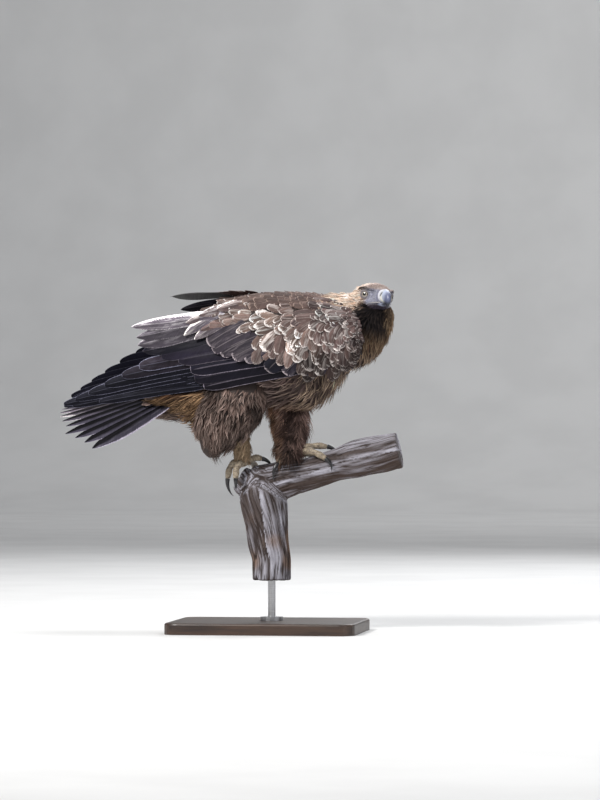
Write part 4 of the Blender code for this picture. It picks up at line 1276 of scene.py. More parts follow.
def makeClaw(name, knots, length):
    # a horn whose way turns from straight on to steeply down, thin at its tip and deeper than wide
    end = np.array(knots[-1])
    ahead = unit((end - np.array(knots[-2]))[None])[0]
    down = unit((np.array([0.0, 0.0, -1.0]) + ahead * ahead[2])[None])[0]
    s = np.linspace(0.0, 1.0, 28)
    angle = math.radians(feet["clawCurl"]) * s
    ways = ahead * np.cos(angle)[:, None] + down * np.sin(angle)[:, None]
    path = end + np.concatenate([[[0, 0, 0]], np.cumsum((ways[1:] + ways[:-1]) / 2, axis=0) * (length / 27)])
    radii = feet["clawRoot"] * (1.0 - 0.95 * s**1.15)
    points, triangles = closedLoft(tubeAlong(path, radii, 18, 1.08))
    colours = mix(tint(44, 42, 44), tint(14, 14, 16), cloud(points, 0.003, 2)[:, None])
    paintedPiece(name, points, triangles, colours, clawFinish)


toeFinish = skinFinish("toeFinish", 0.5, 900.0, 0.0002, 0.45, 0.1)
clawFinish = skinFinish("clawFinish", 0.28, 500.0, 0.00012, 0.55, 0.1)
makeFoot("right")
makeFoot("left")
print("feet and claws set")

# Perch: the limb and its upright joined by voxels, then grooved along the grain
perch = dict(
    # x, y, z, radius
    limb=[(-0.06, 0.0, 0.324, 0.027), (-0.036, 0.0, 0.311, 0.037), (0.0, 0.0, 0.312, 0.043),
          (0.04, 0.0, 0.321, 0.041), (0.083, 0.0, 0.331, 0.036), (0.14, 0.0, 0.35, 0.035),
          (0.195, 0.0, 0.365, 0.041), (0.278, 0.0, 0.382, 0.039)],
    upright=[(-0.014, 0.0, 0.318, 0.04), (-0.01, 0.0, 0.285, 0.052), (-0.004, 0.0, 0.24, 0.048),
             (0.001, 0.0, 0.19, 0.044), (0.008, 0.0, 0.148, 0.041), (0.008, 0.0, 0.11, 0.041)],
    voxel=0.0021, smoothing=5, meanRadius=0.04)


def grainPlace(points, rows, count=160):
    # metres along the nearest part of a branch, metres round it, and how far outside it the point is
    rows = smoothRows(rows, count)
    path, radius = rows[:, :3], rows[:, 3]
    run = np.concatenate([[0.0], np.cumsum(np.linalg.norm(np.diff(path, axis=0), axis=1))])
    gap = np.full(len(points), 9.0)
    nearest = np.zeros(len(points), int)
    for k in range(count):
        away = np.linalg.norm(points - path[k], axis=1) - radius[k]
        closer = away < gap
        gap, nearest = np.where(closer, away, gap), np.where(closer, k, nearest)
    ahead = unit(np.gradient(path, axis=0))[nearest]
    away = points - path[nearest]
    along = run[nearest] + np.sum(away * ahead, axis=1)
    side = np.array([0.0, 1.0, 0.0])
    rise = np.cross(ahead, side)
    turned = np.arctan2(np.sum(away * rise, axis=1), away @ side)
    return along, turned * perch["meanRadius"], gap


def makePerch():
    limb, upright = smoothRows(perch["limb"], 60), smoothRows(perch["upright"], 50)
    parts = [closedLoft(tubeAlong(limb[:, :3], limb[:, 3] - 0.0012, 40)),
             closedLoft(tubeAlong(upright[:, :3], upright[:, 3] - 0.0012, 40))]
    mesh = voxelMesh("perch", *joinLofts(parts), perch["voxel"], perch["smoothing"])
    points, normals = meshVectors(mesh).astype(float), meshVectors(mesh, "normal")
    limbAlong, limbRound, limbGap = grainPlace(points, perch["limb"])
    upAlong, upRound, upGap = grainPlace(points, perch["upright"])
    toUpright = ease(limbGap - upGap, -0.006, 0.01)
    along, turned = mix(limbAlong, upAlong + 0.3, toUpright), mix(limbRound, upRound, toUpright)
    turned = turned + 0.01 * np.sin(along * 17.0)  # the grain winds a little
    grain = np.stack([along, turned, 0 * along], -1)
    coarse = cloud(grain * [18.0, 190.0, 1.0], 1.0, 1)
    finer = cloud(grain * [40.0, 520.0, 1.0], 1.0, 2)
    cracked = ease(cloud(grain * [9.0, 60.0, 1.0], 1.0, 4), 0.35, 0.6)
    fissure = np.clip(1.0 - np.abs(coarse - 0.5) * 9.0, 0, 1) * cracked
    lumps = cloud(points, 0.035, 6) - 0.5
    endness = ease(points[:, 0], 0.272, 0.277)
    height = 0.003 * lumps + 0.0012 * (coarse - 0.5) + 0.0009 * (finer - 0.5) - 0.0032 * fissure
    points = points + normals * (height * (1 - endness))[:, None]
    pale = cloud(grain * [12.0, 90.0, 1.0], 1.0, 9)
    colours = mix(tint(78, 69, 67), tint(176, 174, 184), ease(0.6 * pale + 0.4 * finer, 0.34, 0.8)[:, None])
    warm = ease(cloud(points, 0.045, 12), 0.5, 0.75) * ease(-points[:, 2], -0.335, -0.2) * 0.8
    colours = mix(colours, tint(126, 98, 78), warm[:, None])
    dark = np.clip(fissure * 1.3 + 0.8 * ease(0.5 - finer, 0.06, 0.26), 0, 0.94)
    colours = mix(colours, tint(52, 43, 40), dark[:, None])
    under = ease(-normals[:, 2], 0.0, 0.8) * 0.55
    colours = mix(colours, tint(70, 54, 45), under[:, None])
    mesh.vertices.foreach_set("co", points.astype(np.float32).ravel())
    paintPoints(mesh, "painted", colours)
    storeVectors(mesh, "grain", grain)
    mesh.update()
    material, tree, shader = newMaterial("deadWoodFinish", 0.86, Specular_IOR_Level=0.2)
    along = stretched(tree, attribute(tree, "grain").outputs["Vector"], (55.0, 1500.0, 1.0))
    lines = noise(tree, along, 1.0, 3.0, 0.6)
    shade = ramp(tree, lines, 0.3, 0.7, 0.66, 1.28)
    colour = shaded(tree, attribute(tree, "painted").outputs["Color"], shade)
    connect(tree, shader, colour, lines, 0.6, 0.001)
    addPiece("perch", mesh, material, ("perch",))
    print("perch:", len(mesh.polygons), "faces")


makePerch()


# Stand: the solids keep their shape and get a stained board's and a brushed rod's finish
def refinish(name, material):
    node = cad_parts[name]
    node.data.materials.clear()
    node.data.materials.append(material)


def finishStand():
    material, tree, shader = newMaterial("stainedBoard", 0.42, Coat_Weight=0.15, Coat_Roughness=0.35)
    place = addNode(tree, "TexCoord").outputs["Object"]
    rays = noise(tree, stretched(tree, place, (6.0, 70.0, 60.0)), 1.0, 4.0, 0.6)
    pores = noise(tree, stretched(tree, place, (40.0, 900.0, 900.0)), 1.0, 2.0, 0.5)
    colour = blendColour(tree, ramp(tree, rays, 0.3, 0.7), tint(38, 27, 22), tint(74, 54, 42))
    colour = blendColour(tree, ramp(tree, pores, 0.55, 0.75, 0.0, 0.6), colour, tint(20, 14, 11))
    connect(tree, shader, colour, pores, 0.25, 0.0003)
    refinish("stand_base", material)

    material, tree, shader = newMaterial("brushedRod", 0.34, Metallic=1.0)
    place = addNode(tree, "TexCoord").outputs["Object"]
    brushed = noise(tree, stretched(tree, place, (60.0, 60.0, 2600.0)), 1.0, 2.0, 0.6)
    colour = blendColour(tree, ramp(tree, brushed, 0.3, 0.7), (0.42, 0.42, 0.43), (0.6, 0.6, 0.61))
    tree.links.new(ramp(tree, brushed, 0.3, 0.7, 0.28, 0.42), shader.inputs["Roughness"])
    connect(tree, shader, colour, brushed, 0.12, 0.0002)
    refinish("stand_rod", material)


finishStand()
print("stand finished")

covertFinish = featherFinish("covertFinish", rim=0.17, soft=0.2, ragged=0.75, shaft=0.25, crescent=0.35)
smallFinish = featherFinish("smallFeatherFinish", rim=0.24, soft=0.3, ragged=0.4, shaft=0.3)
flight = dict(rim=0.1, soft=0.1, ragged=0.1, barbs=1500.0)
quillFinish = featherFinish("quillFinish", shaft=0.3, roughness=0.5, gloss=0.08, webShading=0.3, **flight)
rectrixFinish = featherFinish("rectrixFinish", shaft=0.2, gloss=0.06, webShading=-0.85, split=-0.35, **flight)
wornFinish = featherFinish("wornFinish", rim=0.06, soft=0.3, ragged=0.35, shaft=0.3, barbs=1500.0, webShading=0.35)
locksFinish = hairFinish("locksFinish")


# Wing coverts
coverts = dict(
    candidates=1700, coat=0.0065, length=(0.015, 0.05), slender=0.3, x=(0.209, -0.28), v=(-0.1, 1.0),
    # x, and the z of the line above which the small coverts root
    lowest=[(-0.12, 0.648), (-0.08, 0.64), (-0.03, 0.62), (0.03, 0.6), (0.08, 0.588), (0.14, 0.566),
            (0.2, 0.572)])


def covertWay(point):
    # the coverts lie back along the top, and turn to hang down over the wrist
    x, z = point[..., 0], point[..., 2]
    top, lower, *_ = wingAt(x)
    t = np.clip((top - z) / (top - lower), 0.0, 1.0)
    front = np.clip((x + 0.06) / 0.25, 0.0, 1.0)
    degrees = 8.0 + ease(t, 0.05, 0.5) * (78.0 * front**0.7 + 28.0 * (1.0 - front))
    angle = np.radians(degrees)
    return np.stack([-np.cos(angle), 0 * x, -np.sin(angle)], -1)


def paleBand(x, z):
    # worn, bleached feathers run down the middle of the wing, from the rear of the back to its lower front
    return np.clip(1.6 * hump(z - (0.658 - 0.42 * (x - 0.02)), 0.0, 0.034) * hump(x, 0.0, 0.125), 0, 1)


def layCoverts(sign):
    sheet = wingSheet(sign, coverts["coat"], coverts["x"], coverts["v"])
    random = np.random.default_rng(11 + sign)
    u, v = spread(coverts["candidates"], 3 + sign)
    u = u**1.35
    flatX = mix(*coverts["x"], u)
    top, lower, *_ = wingAt(flatX)
    flatZ = top + (lower - top) * mix(*coverts["v"], v)
    keep = (flatX > -0.105) & (flatZ > np.interp(flatX, *np.array(coverts["lowest"]).T))
    keep &= random.uniform(0, 1, len(u)) < 0.3 + 0.45 * ease(flatX, 0.165, 0.205)
    u, v, flatX, flatZ = u[keep], v[keep], flatX[keep], flatZ[keep]
    back = 1.0 - ease(flatX, 0.172, 0.21)
    length = mix(*coverts["length"], back**0.8) * mix(0.6, 1.0, ease(v, 0.1, 0.45))
    length = length * random.uniform(0.75, 1.2, len(u))
    point, = readSheet(sheet, u, v, "points")
    fall = np.maximum(-covertWay(point)[:, 2], 0.25)
    lower = wingAt(flatX)[1]
    room = 0.008 + np.maximum(flatZ - lower, 0.0) / fall  # none hangs below the wing's edge
    length = np.clip(length, 0.01, room)
    worn = paleBand(flatX, flatZ) * random.uniform(0.0, 1.0, len(u)) ** 0.7 * (1.0 if sign < 0 else 0.4)
    fresh = random.uniform(0, 1, len(u)) ** 2  # some feathers are new and dark, some faded
    body = mix(coat["covertBody"], coat["greaterBody"], 0.6 * fresh[:, None])
    body = mix(body, coat["wornBody"], worn[:, None]) * np.exp(random.normal(0.0, 0.16, (len(u), 1)))
    dark = ease(flatX, 0.07, 0.11) * (1.0 - ease(flatZ, 0.6, 0.642))  # the low front of the wing
    wrist = ease(flatX, 0.09, 0.16) * (1.0 - dark)
    body = body * (1.0 - 0.7 * dark[:, None])
    dull = np.maximum(random.uniform(0, 1, (len(u), 1)) ** 1.5, dark[:, None])
    edge = mix(coat["covertEdge"], coat["covertEdge"] * 0.35, dull)
    edge = mix(edge, coat["wornEdge"], np.maximum(np.clip(worn * 1.6, 0, 1), 0.8 * wrist)[:, None])
    looks = feathersLook(random, len(u), body, edge, 0.07 + 0.46 * worn + 0.12 * wrist, 0.2)
    rise = mix(0.002, 0.0072, ease(v, 0.05, 0.25))
    return layFeathers(sheet, u, v, covertWay, "covert", length, length * coverts["slender"], looks,
                       21 + sign, sunk=-0.0035, rise=rise, camber=0.14, roll=0.08 * sign,
                       turn=0.22, pointed=0.7, clump=0.3, clumpSize=0.03)


bigFeathers = dict(
    # root x, root z, tip x, tip z, sag, half width above, half width below, height at root, height at tip
    greater=[(-0.036, 0.65, -0.111, 0.604, 0.05, 0.018, 0.018, -0.009, -0.0016),
             (-0.02, 0.632, -0.1, 0.59, 0.05, 0.017, 0.017, -0.0095, -0.0024),
             (-0.004, 0.622, -0.082, 0.582, 0.05, 0.016, 0.016, -0.0098, -0.0028),
             (0.022, 0.612, -0.056, 0.575, 0.05, 0.018, 0.017, -0.01, -0.0022),
             (0.044, 0.606, -0.03, 0.569, 0.05, 0.015, 0.015, -0.01, -0.0034),
             (0.078, 0.598, 0.016, 0.547, 0.08, 0.019, 0.018, -0.0098, -0.002),
             (0.108, 0.592, 0.052, 0.541, 0.08, 0.016, 0.015, -0.0096, -0.0032),
             (0.134, 0.588, 0.086, 0.54, 0.08, 0.014, 0.014, -0.0094, -0.0034),
             (0.15, 0.586, 0.118, 0.541, 0.08, 0.014, 0.014, -0.0092, -0.003)],
    tertials=[(-0.08, 0.668, -0.282, 0.641, -0.02, 0.015, 0.016, -0.004, -0.0006),
              (-0.088, 0.664, -0.268, 0.618, -0.03, 0.016, 0.018, -0.006, -0.0022),
              (-0.088, 0.652, -0.265, 0.602, -0.03, 0.019, 0.02, -0.0078, -0.0038),
              (-0.082, 0.632, -0.255, 0.589, -0.04, 0.019, 0.02, -0.0094, -0.0054)],
    farTertials=[(-0.06, 0.706, -0.276, 0.658, 0.02, 0.008, 0.013, -0.004, -0.0006),
                 (-0.06, 0.69, -0.251, 0.64, 0.0, 0.008, 0.011, -0.007, -0.003),
                 (-0.088, 0.652, -0.255, 0.606, -0.03, 0.019, 0.02, -0.0078, -0.0038)],
    secondaries=[(-0.03, 0.62, -0.214, 0.58, 0.02, 0.024, 0.019, -0.0112, -0.0066),
                 (0.04, 0.6, -0.176, 0.57, 0.03, 0.026, 0.018, -0.0122, -0.0078),
                 (0.074, 0.58, -0.149, 0.549, 0.03, 0.027, 0.018, -0.0132, -0.0092),
                 (0.092, 0.566, -0.141, 0.53, 0.03, 0.025, 0.017, -0.014, -0.0104),
                 (0.116, 0.556, -0.122, 0.514, 0.03, 0.024, 0.014, -0.0146, -0.0116),
                 (0.15, 0.556, -0.1, 0.515, 0.05, 0.02, 0.01, -0.0148, -0.0126)],
    primaries=[(-0.08, 0.584, -0.262, 0.557, 0.03, 0.015, 0.015, -0.021, -0.002),
               (-0.08, 0.572, -0.312, 0.531, 0.03, 0.015, 0.013, -0.0214, -0.0026),
               (-0.08, 0.56, -0.362, 0.506, 0.03, 0.014, 0.012, -0.0218, -0.0032),
               (-0.08, 0.548, -0.402, 0.488, 0.03, 0.013, 0.011, -0.0222, -0.0038),
               (-0.08, 0.538, -0.43, 0.476, 0.03, 0.012, 0.01, -0.0226, -0.0044),
               (-0.08, 0.529, -0.418, 0.473, 0.03, 0.012, 0.009, -0.023, -0.005),
               (-0.08, 0.522, -0.35, 0.483, 0.02, 0.012, 0.009, -0.0234, -0.0056)],
    secondaryRims=[0.45, 0.7, 1.1, 0.3, 1.2, 0.8],
    primaryCount=9,
    farPrimaries=[(-0.08, 0.606, -0.296, 0.574, 0.03, 0.016, 0.015, -0.021, -0.002),
                  (-0.08, 0.596, -0.338, 0.541, 0.03, 0.015, 0.013, -0.0214, -0.0026),
                  (-0.08, 0.584, -0.378, 0.512, 0.03, 0.014, 0.012, -0.0218, -0.0032),
                  (-0.08, 0.57, -0.41, 0.488, 0.03, 0.013, 0.011, -0.0222, -0.0038),
                  (-0.08, 0.556, -0.432, 0.47, 0.03, 0.012, 0.01, -0.0226, -0.0044),
                  (-0.08, 0.538, -0.418, 0.466, 0.03, 0.012, 0.009, -0.023, -0.005),
                  (-0.08, 0.522, -0.35, 0.478, 0.02, 0.012, 0.009, -0.0234, -0.0056)],
    scapulars=[(-0.002, 0.698, -0.1, 0.676, 0.05, 0.01, 0.014, -0.015, 0.0),
               (-0.02, 0.694, -0.138, 0.664, 0.05, 0.011, 0.015, -0.015, 0.0002),
               (-0.034, 0.688, -0.163, 0.648, 0.05, 0.012, 0.014, -0.015, 0.0004),
               (-0.03, 0.68, -0.128, 0.632, 0.06, 0.014, 0.014, -0.016, 0.0),
               (-0.046, 0.696, -0.163, 0.621, 0.08, 0.016, 0.015, -0.014, 0.0034),
               (-0.044, 0.674, -0.14, 0.613, 0.07, 0.015, 0.014, -0.015, 0.0024)],
    scapularWear=[0.1, 0.22, 0.32, 0.1, 0.55, 0.14],
    tertialWear=[0.4, 0.16, 0.26, 0.02],
)


def makeWingFeathers(sideName, sign):
    random = np.random.default_rng(40 + sign)
    place = placeOnWing(sign)
    rows = bigFeathers["secondaries"]
    upper = np.linspace(1.0, 0.0, len(rows))[:, None]
    body = mix(coat["secondaryBody"], coat["greaterBody"], random.uniform(0, 0.5, (len(rows), 1)))
    # painted sheen and shade: the upper rows painted lighter, the lower rows darker
    body = body * (0.7 + 1.3 * upper**1.5)
    edge = coat["secondaryEdge"] * np.array(bigFeathers["secondaryRims"])[:, None]
    looks = feathersLook(random, len(rows), body, edge, 0.0, 0.08)
    batch = layVanes(rows, place, "quill", looks, 1, roll=-0.06)
    featherPiece("secondaries_" + sideName, [batch], quillFinish)

    rows = bigFeathers["tertials"] if sign < 0 else bigFeathers["farTertials"]
    # on the far wing the second and third tertials are painted near black, as the shade under the first
    share = np.array([[-0.1], [0.55], [0.5], [1.0]]) if sign < 0 else np.array([[0.1], [0.95], [0.95]])
    wear = np.array(bigFeathers["tertialWear"]) if sign < 0 else 0.0
    body, edge = (mix(coat["tertial" + part], coat["secondary" + part], share) for part in ("Body", "Edge"))
    if sign > 0:
        body[0] = coat["tertialBody"].mean() * 1.6  # pale from bleaching, and lightened 1.6 times as painted light, since its shaded side is the one seen
    looks = feathersLook(random, len(rows), body, edge, wear, 0.08)
    worn = [layVanes(rows, place, "tapered", looks, 2, roll=-0.06, webBias=0.8, tile=(0.0, 0.0, 0.5, 1.0))]
    rows = bigFeathers["scapulars"]
    brown = np.array([[0.9], [0.8], [0.6], [0.9], [0.0], [0.2]])
    body = mix(coat["tertialBody"], coat["covertBody"], brown)
    edge = coat["wornEdge"] if sign < 0 else coat["covertEdge"]
    wear = np.array(bigFeathers["scapularWear"]) if sign < 0 else 0.0
    looks = feathersLook(random, len(rows), body, edge, wear, 0.14)
    worn.append(layVanes(rows, place, "tapered", looks, 5, roll=-0.05, webBias=0.9,
                         tile=(0.5, 0.0, 0.5, 1.0)))
    featherPiece("scapulars_" + sideName, worn, wornFinish)

    count = bigFeathers["primaryCount"]
    rows = smoothRows(bigFeathers["primaries" if sign < 0 else "farPrimaries"], count)
    share = np.linspace(0, 1, count)[:, None]
    upper = mix(coat["primaryBody"], coat["greaterBody"], 0.9 if sign < 0 else 0.0)
    body = mix(upper, coat["primaryBody"], ease(share, 0.0, 0.25))
    # on the far wing the rims are dimmed to a quarter, as painted shade
    edge = coat["primaryEdge"] * (mix(1.3, 0.9, share) if sign < 0 else 0.25)
    node = "primaries_" + sideName
    looks = feathersLook(random, count, body, edge, 0.0, 0.08)
    batch = layVanes(rows, place, "quill", looks, 3, roll=-0.06)
    featherPiece(node + "_vanes", [batch], quillFinish, (node,))

    rows = bigFeathers["greater"]
    blue = np.array([0.1, 0.0, 0.2, 0.1, 0.4, 1.0, 0.6, 0.8, 0.3])[:, None]
    body = mix(mix(coat["greaterBody"], coat["tertialBody"], 0.12), coat["secondaryBody"], blue)
    looks = feathersLook(random, len(rows), body, coat["greaterEdge"], 0.04, 0.1)
    greater = layVanes(rows, place, "quill", looks, 4, roll=-0.05, tile=(0.0, 0.75, 1.0, 0.25))
    small = layCoverts(sign)
    small["uvs"] = small["uvs"] * [1.0, 0.74]
    featherPiece("coverts_" + sideName, [greater, small], covertFinish)


makeWingFeathers("right", -1)
makeWingFeathers("left", 1)


# Tail
def makeTail():
    random = np.random.default_rng(70)
    count = tail["feathers"]
    share = (np.arange(count) + 0.5) / count
    angle = np.radians(mix(tail["left"], tail["right"], share))
    outward = np.abs(2 * share - 1)
    reach = tail["length"] * (1 - tail["rounding"] * outward**2) * random.uniform(0.95, 1.0, count)
    stack = -0.0011 * np.abs(np.arange(count) - (count - 1) / 2)
    half = 0.5 * tail["length"] * math.radians(tail["right"] - tail["left"]) / count * 1.6
    rows = np.stack([tail["inner"] * np.cos(angle), tail["inner"] * np.sin(angle), reach * np.cos(angle),
                     reach * np.sin(angle), 0.01 * np.sign(angle), np.full(count, half), np.full(count, half),
                     stack + 0.006, stack + 0.003], -1)
    pale = hump(np.arange(count), 4.6, 1.1)[:, None]  # one feather near the upper edge is bleached
    body = mix(coat["tailBody"], coat["tertialBody"], 0.7 * pale)
    edge = mix(coat["tailEdge"], coat["wornEdge"], 0.6 * pale)
    looks = feathersLook(random, count, body, edge, 0.05 + 0.1 * pale[:, 0])
    batch = layVanes(rows, placeOnTail, "tapered", looks, 6)
    featherPiece("rectrices", [batch], rectrixFinish, ("tail",))

    batches = []
    for over, number in ((1.0, 16), (-1.0, 18)):  # the coverts over and under the tail's root
        share = (np.arange(number) + 0.5) / number
        angle = np.radians(mix(tail["left"] * 0.8, tail["right"] * 0.8, share))
        start, end = 0.01 + 0.02 * random.uniform(0, 1, number), 0.105 + 0.03 * random.uniform(0, 1, number)
        base, lift = np.full(number, 0.008 * over), np.full(number, (0.01 if over > 0 else 0.013) * over)
        rows = np.stack([start * np.cos(angle), start * np.sin(angle), end * np.cos(angle), end * np.sin(angle),
                         0 * angle, np.full(number, 0.013), np.full(number, 0.013), base, lift], -1)
        looks = feathersLook(random, number, *coatOf("mantle" if over > 0 else "vent"), 0.15)
        batches.append(layVanes(rows, placeOnTail, "covert", looks, 7,
                                tile=(0.0, 0.0 if over > 0 else 0.5, 1.0, 0.5)))
    featherPiece("tail_coverts", batches, smallFinish)


makeTail()


# Body feathers on closed sheets
def backward(point):
    return np.array([-1.0, 0.0, -0.1]) + 0 * point


def downward(point):
    return np.array([-0.25, 0.0, -1.0]) + 0 * point


def neckWay(point):
    # back along the nape, down over the sides, straight down at the throat and breast
    front = ease(point[..., 0] - 0.6 * (point[..., 2] - 0.66), 0.205, 0.265)[..., None]
    low = ease(0.69 - point[..., 2], 0.0, 0.05)[..., None]
    side = mix(np.array([-0.92, 0.0, -0.38]), np.array([-0.62, 0.0, -0.78]), low)
    return mix(side, np.array([-0.1, 0.0, -1.0]), front)


def headWay(point):
    # back from the bill over the crown, and down over the cheeks and throat
    low = ease(-inHead(point)[2], -0.004, 0.024)[..., None]
    return -headAhead - np.array([0.0, 0.0, 1.0]) * (0.35 + 0.75 * low)


mantle = dict(roots=900, coat=0.0035, length=(0.022, 0.052), slender=0.34, wear=0.18, paintedRumpShade=0.45,
              lie=dict(sunk=-0.003, rise=0.0032, turn=0.1))


def makeMantle():
    random = np.random.default_rng(80)
    sheet = makeSheet(trunkRings(mantle["coat"], 80, 96)[::-1], True)
    u, v = spread(mantle["roots"], 5, (0.0, 0.9), (0.0, 0.5))
    point, = readSheet(sheet, u, v, "points")
    keep = (np.abs(point[:, 1]) < 0.062 + 0.03 * ease(point[:, 0], 0.08, 0.13)) & (point[:, 2] > 0.5)
    u, v, point = u[keep], v[keep], point[keep]
    length = mix(*mantle["length"], ease(-point[:, 0], -0.15, 0.1))
    body, edge = coatColours(point)
    # painted shade: feathers at the rear of the back darkened to 0.45, as the shadow between the wings
    shadeOverRump = mix(mantle["paintedRumpShade"], 1.0, ease(point[:, 0], -0.075, -0.03))[:, None]
    looks = feathersLook(random, len(u), body * shadeOverRump, edge * shadeOverRump, mantle["wear"], 0.16)
    batch = layFeathers(sheet, u, v, backward, "covert", length, length * mantle["slender"], looks, 81,
                        **mantle["lie"])
    featherPiece("mantle", [batch], covertFinish)


makeMantle()


neckCoat = dict(
    nape_hackles=dict(form="hackle", roots=4200, nearer=0.003, slot="plumage_gold",
                      lie=dict(sunk=-0.003, sway=0.1, turn=0.14, clump=0.4, clumpSize=0.01)),
    throat_locks=dict(form="lock", roots=5600, nearer=0.0, slot="plumage_brown",
                      lie=dict(sunk=-0.003, sway=0.22, turn=0.14, clump=0.6, clumpSize=0.01)))


def makeNeck():
    random = np.random.default_rng(90)
    for name, made in neckCoat.items():
        golden = made["form"] == "hackle"
        sheet = makeSheet(neckRings(neck["coat"] - made["nearer"])[::-1], True)
        u, v = spread(made["roots"], 7)
        point, normal = readSheet(sheet, u, v, "points", "normal")
        keep = (napeShare(point[:, 0], point[:, 2]) > 0.5) == golden
        keep &= (normal[:, 0] > -0.6) | (u > 0.1)
        u, v, point = u[keep], v[keep], point[keep]
        body, edge = bodyColours(point)
        looks = feathersLook(random, len(u), body, edge, random.uniform(0.05, 0.9, len(u)), 0.26)
        long = mix(0.02, 0.03, ease(0.215 - point[:, 0], 0.0, 0.06))
        if golden:
            wide, rise = long * 0.095, 0.006
        else:
            long = long * 1.15 + 0.007 * ease(point[:, 0], 0.235, 0.265)
            wide, rise = 0.0021, 0.011 - 0.005 * ease(point[:, 0], 0.225, 0.25)
        batch = layFeathers(sheet, u, v, neckWay, made["form"], long, wide, looks, 91, rise=rise,
                            **made["lie"])
        featherPiece(name, [batch], hackleFinish if golden else locksFinish)


hackleFinish = featherFinish("hackleFinish", rim=0.4, soft=0.5, ragged=0.4, shaft=0.2)
makeNeck()


headCoat = dict(
    # piece, form, roots, stretch of the head from the bill (0) to the nape (1)
    pieces=[("crown_feathers", "hackle", 3400, (0.36, 1.0)), ("face_bristles", "bristle", 6200, (0.0, 0.44))],
    # forward, length, half width
    sizes=[(-0.056, 0.03, 0.0024), (-0.03, 0.022, 0.002), (-0.01, 0.0125, 0.0013), (0.006, 0.0085, 0.0009),
           (0.02, 0.006, 0.0006), (0.036, 0.004, 0.00045)],
    billBase=0.0345, lie=dict(sunk=-0.0016, turn=0.16, sway=0.1, clump=0.3, clumpSize=0.006),
    browRoots=620, browLength=0.0075, browHalfWidth=0.0008)


def makeHeadFeathers():
    # hackles behind, smaller feathers over the crown, and the smallest on the face
    random = np.random.default_rng(95)
    sheet = makeSheet(headRings(head["coat"])[::-1], True)
    for name, form, count, uRange in headCoat["pieces"]:
        u, v = spread(count, 9, uRange)
        point, normal = readSheet(sheet, u, v, "points", "normal")
        forward = inHead(point)[0]
        steps, lengths, halfWidths = np.array(headCoat["sizes"]).T
        long, wide = np.interp(forward, steps, lengths), np.interp(forward, steps, halfWidths)
        heading = headWay(point)
        heading = unit(heading - normal * dot(heading, normal))
        keep = forward < headCoat["billBase"]
        for sign in (-1, 1):  # no feather roots on the lids or reaches over the eye
            centre, axis, level, above = eyeFrame(sign)
            for share, margin in ((0.0, 0.3), (0.5, 0.16), (1.0, 0.1)):
                away = unit(point + heading * (long * share)[:, None] - centre)
                angle = np.arccos(np.clip(away @ axis, -1, 1))
                keep &= angle > aperture(np.arctan2(away @ above, away @ level)) + margin
        u, v, point, long, wide = u[keep], v[keep], point[keep], long[keep], wide[keep]
        body, edge = coatColours(point)
        looks = feathersLook(random, len(u), body, edge, random.uniform(0.0, 0.8, len(u)), 0.2)
        behind = ease(-point @ headAhead + headMiddle @ headAhead, 0.02, 0.046)
        rise = 0.0026 + 0.1 * long + 0.007 * behind
        batch = layFeathers(sheet, u, v, headWay, form, long, wide, looks, 96, rise=rise, **headCoat["lie"])
        featherPiece(name, [batch], hackleFinish if form == "hackle" else locksFinish)

    batches = []  # the brow's own short feathers, over the top of its shelf
    for sign in (-1, 1):
        forward, aside, up, radius = smoothRows(skin["browBar"], 40).T
        grid = tubeAlong(headPoint(forward, sign * aside, up), radius + 0.0002, 32)
        sheet = makeSheet(grid, True)
        u, v = spread(headCoat["browRoots"], 31 + sign, (0.0, 0.96))
        point, = readSheet(sheet, u, v, "points")
        ahead, _, up = inHead(point)
        middle = smoothRows(skin["browBar"], 40)[np.minimum((u * 39).astype(int), 39), 2]
        keep = up - middle > -0.001
        u, v, point = u[keep], v[keep], point[keep]
        body, edge = headColours(point)
        # the brow feathers darker by 0.85 throughout, and painted near black along the shelf's lower edge as
        # the shadow it casts over the eye
        low = ((1.0 - ease((up - middle)[keep], 0.001, 0.0034)) * hump(ahead[keep], 0.004, 0.024))[:, None]
        body, edge = mix(body * 0.85, coat["throatBody"], low), mix(edge, coat["throatEdge"] * 0.6, low)
        looks = feathersLook(random, len(u), body, edge, random.uniform(0.0, 0.8, len(u)), 0.18)
        batches.append(layFeathers(sheet, u, v, browWay, "bristle", headCoat["browLength"],
                                   headCoat["browHalfWidth"], looks, 97, sunk=-0.0008, rise=0.0011,
                                   tile=(0.0, 0.25 + 0.25 * sign, 1.0, 0.5)))
    featherPiece("brow_feathers", batches, locksFinish)


def browWay(point):
    return -headAhead + np.array([0.0, 0.0, 0.05]) + 0 * point


makeHeadFeathers()


def bellyWay(point):
    # down at the breast, turning to straight back under the belly
    hang = ease(point[..., 0], 0.02, 0.12)[..., None]
    return mix(np.array([-1.0, 0.0, -0.1]), np.array([-0.4, 0.0, -0.92]), hang)


belly = dict(roots=3000, highest=0.575, length=(0.038, 0.058), halfWidth=(0.0024, 0.0032),
             lie=dict(sunk=-0.004, rise=0.012, sway=0.25, turn=0.16, clump=0.6, clumpSize=0.013))


def makeBelly():
    random = np.random.default_rng(100)
    sheet = makeSheet(trunkRings(trunk["coat"], 80, 96)[::-1], True)
    u, v = spread(belly["roots"], 11, (0.0, 0.97), (0.44, 1.06))
    point, = readSheet(sheet, u, v, "points")
    keep = point[:, 2] < belly["highest"]
    u, v, point = u[keep], v[keep], point[keep]
    body, edge = coatColours(point)
    vent = ease(-point[:, 0], 0.1, 0.17)
    looks = feathersLook(random, len(u), body, edge, random.uniform(0.1, 0.95, len(u)), 0.25)
    batch = layFeathers(sheet, u, v, bellyWay, "lock", mix(*belly["length"], vent),
                        mix(*belly["halfWidth"], vent), looks, 101, **belly["lie"])
    featherPiece("belly_locks", [batch], locksFinish)


makeBelly()


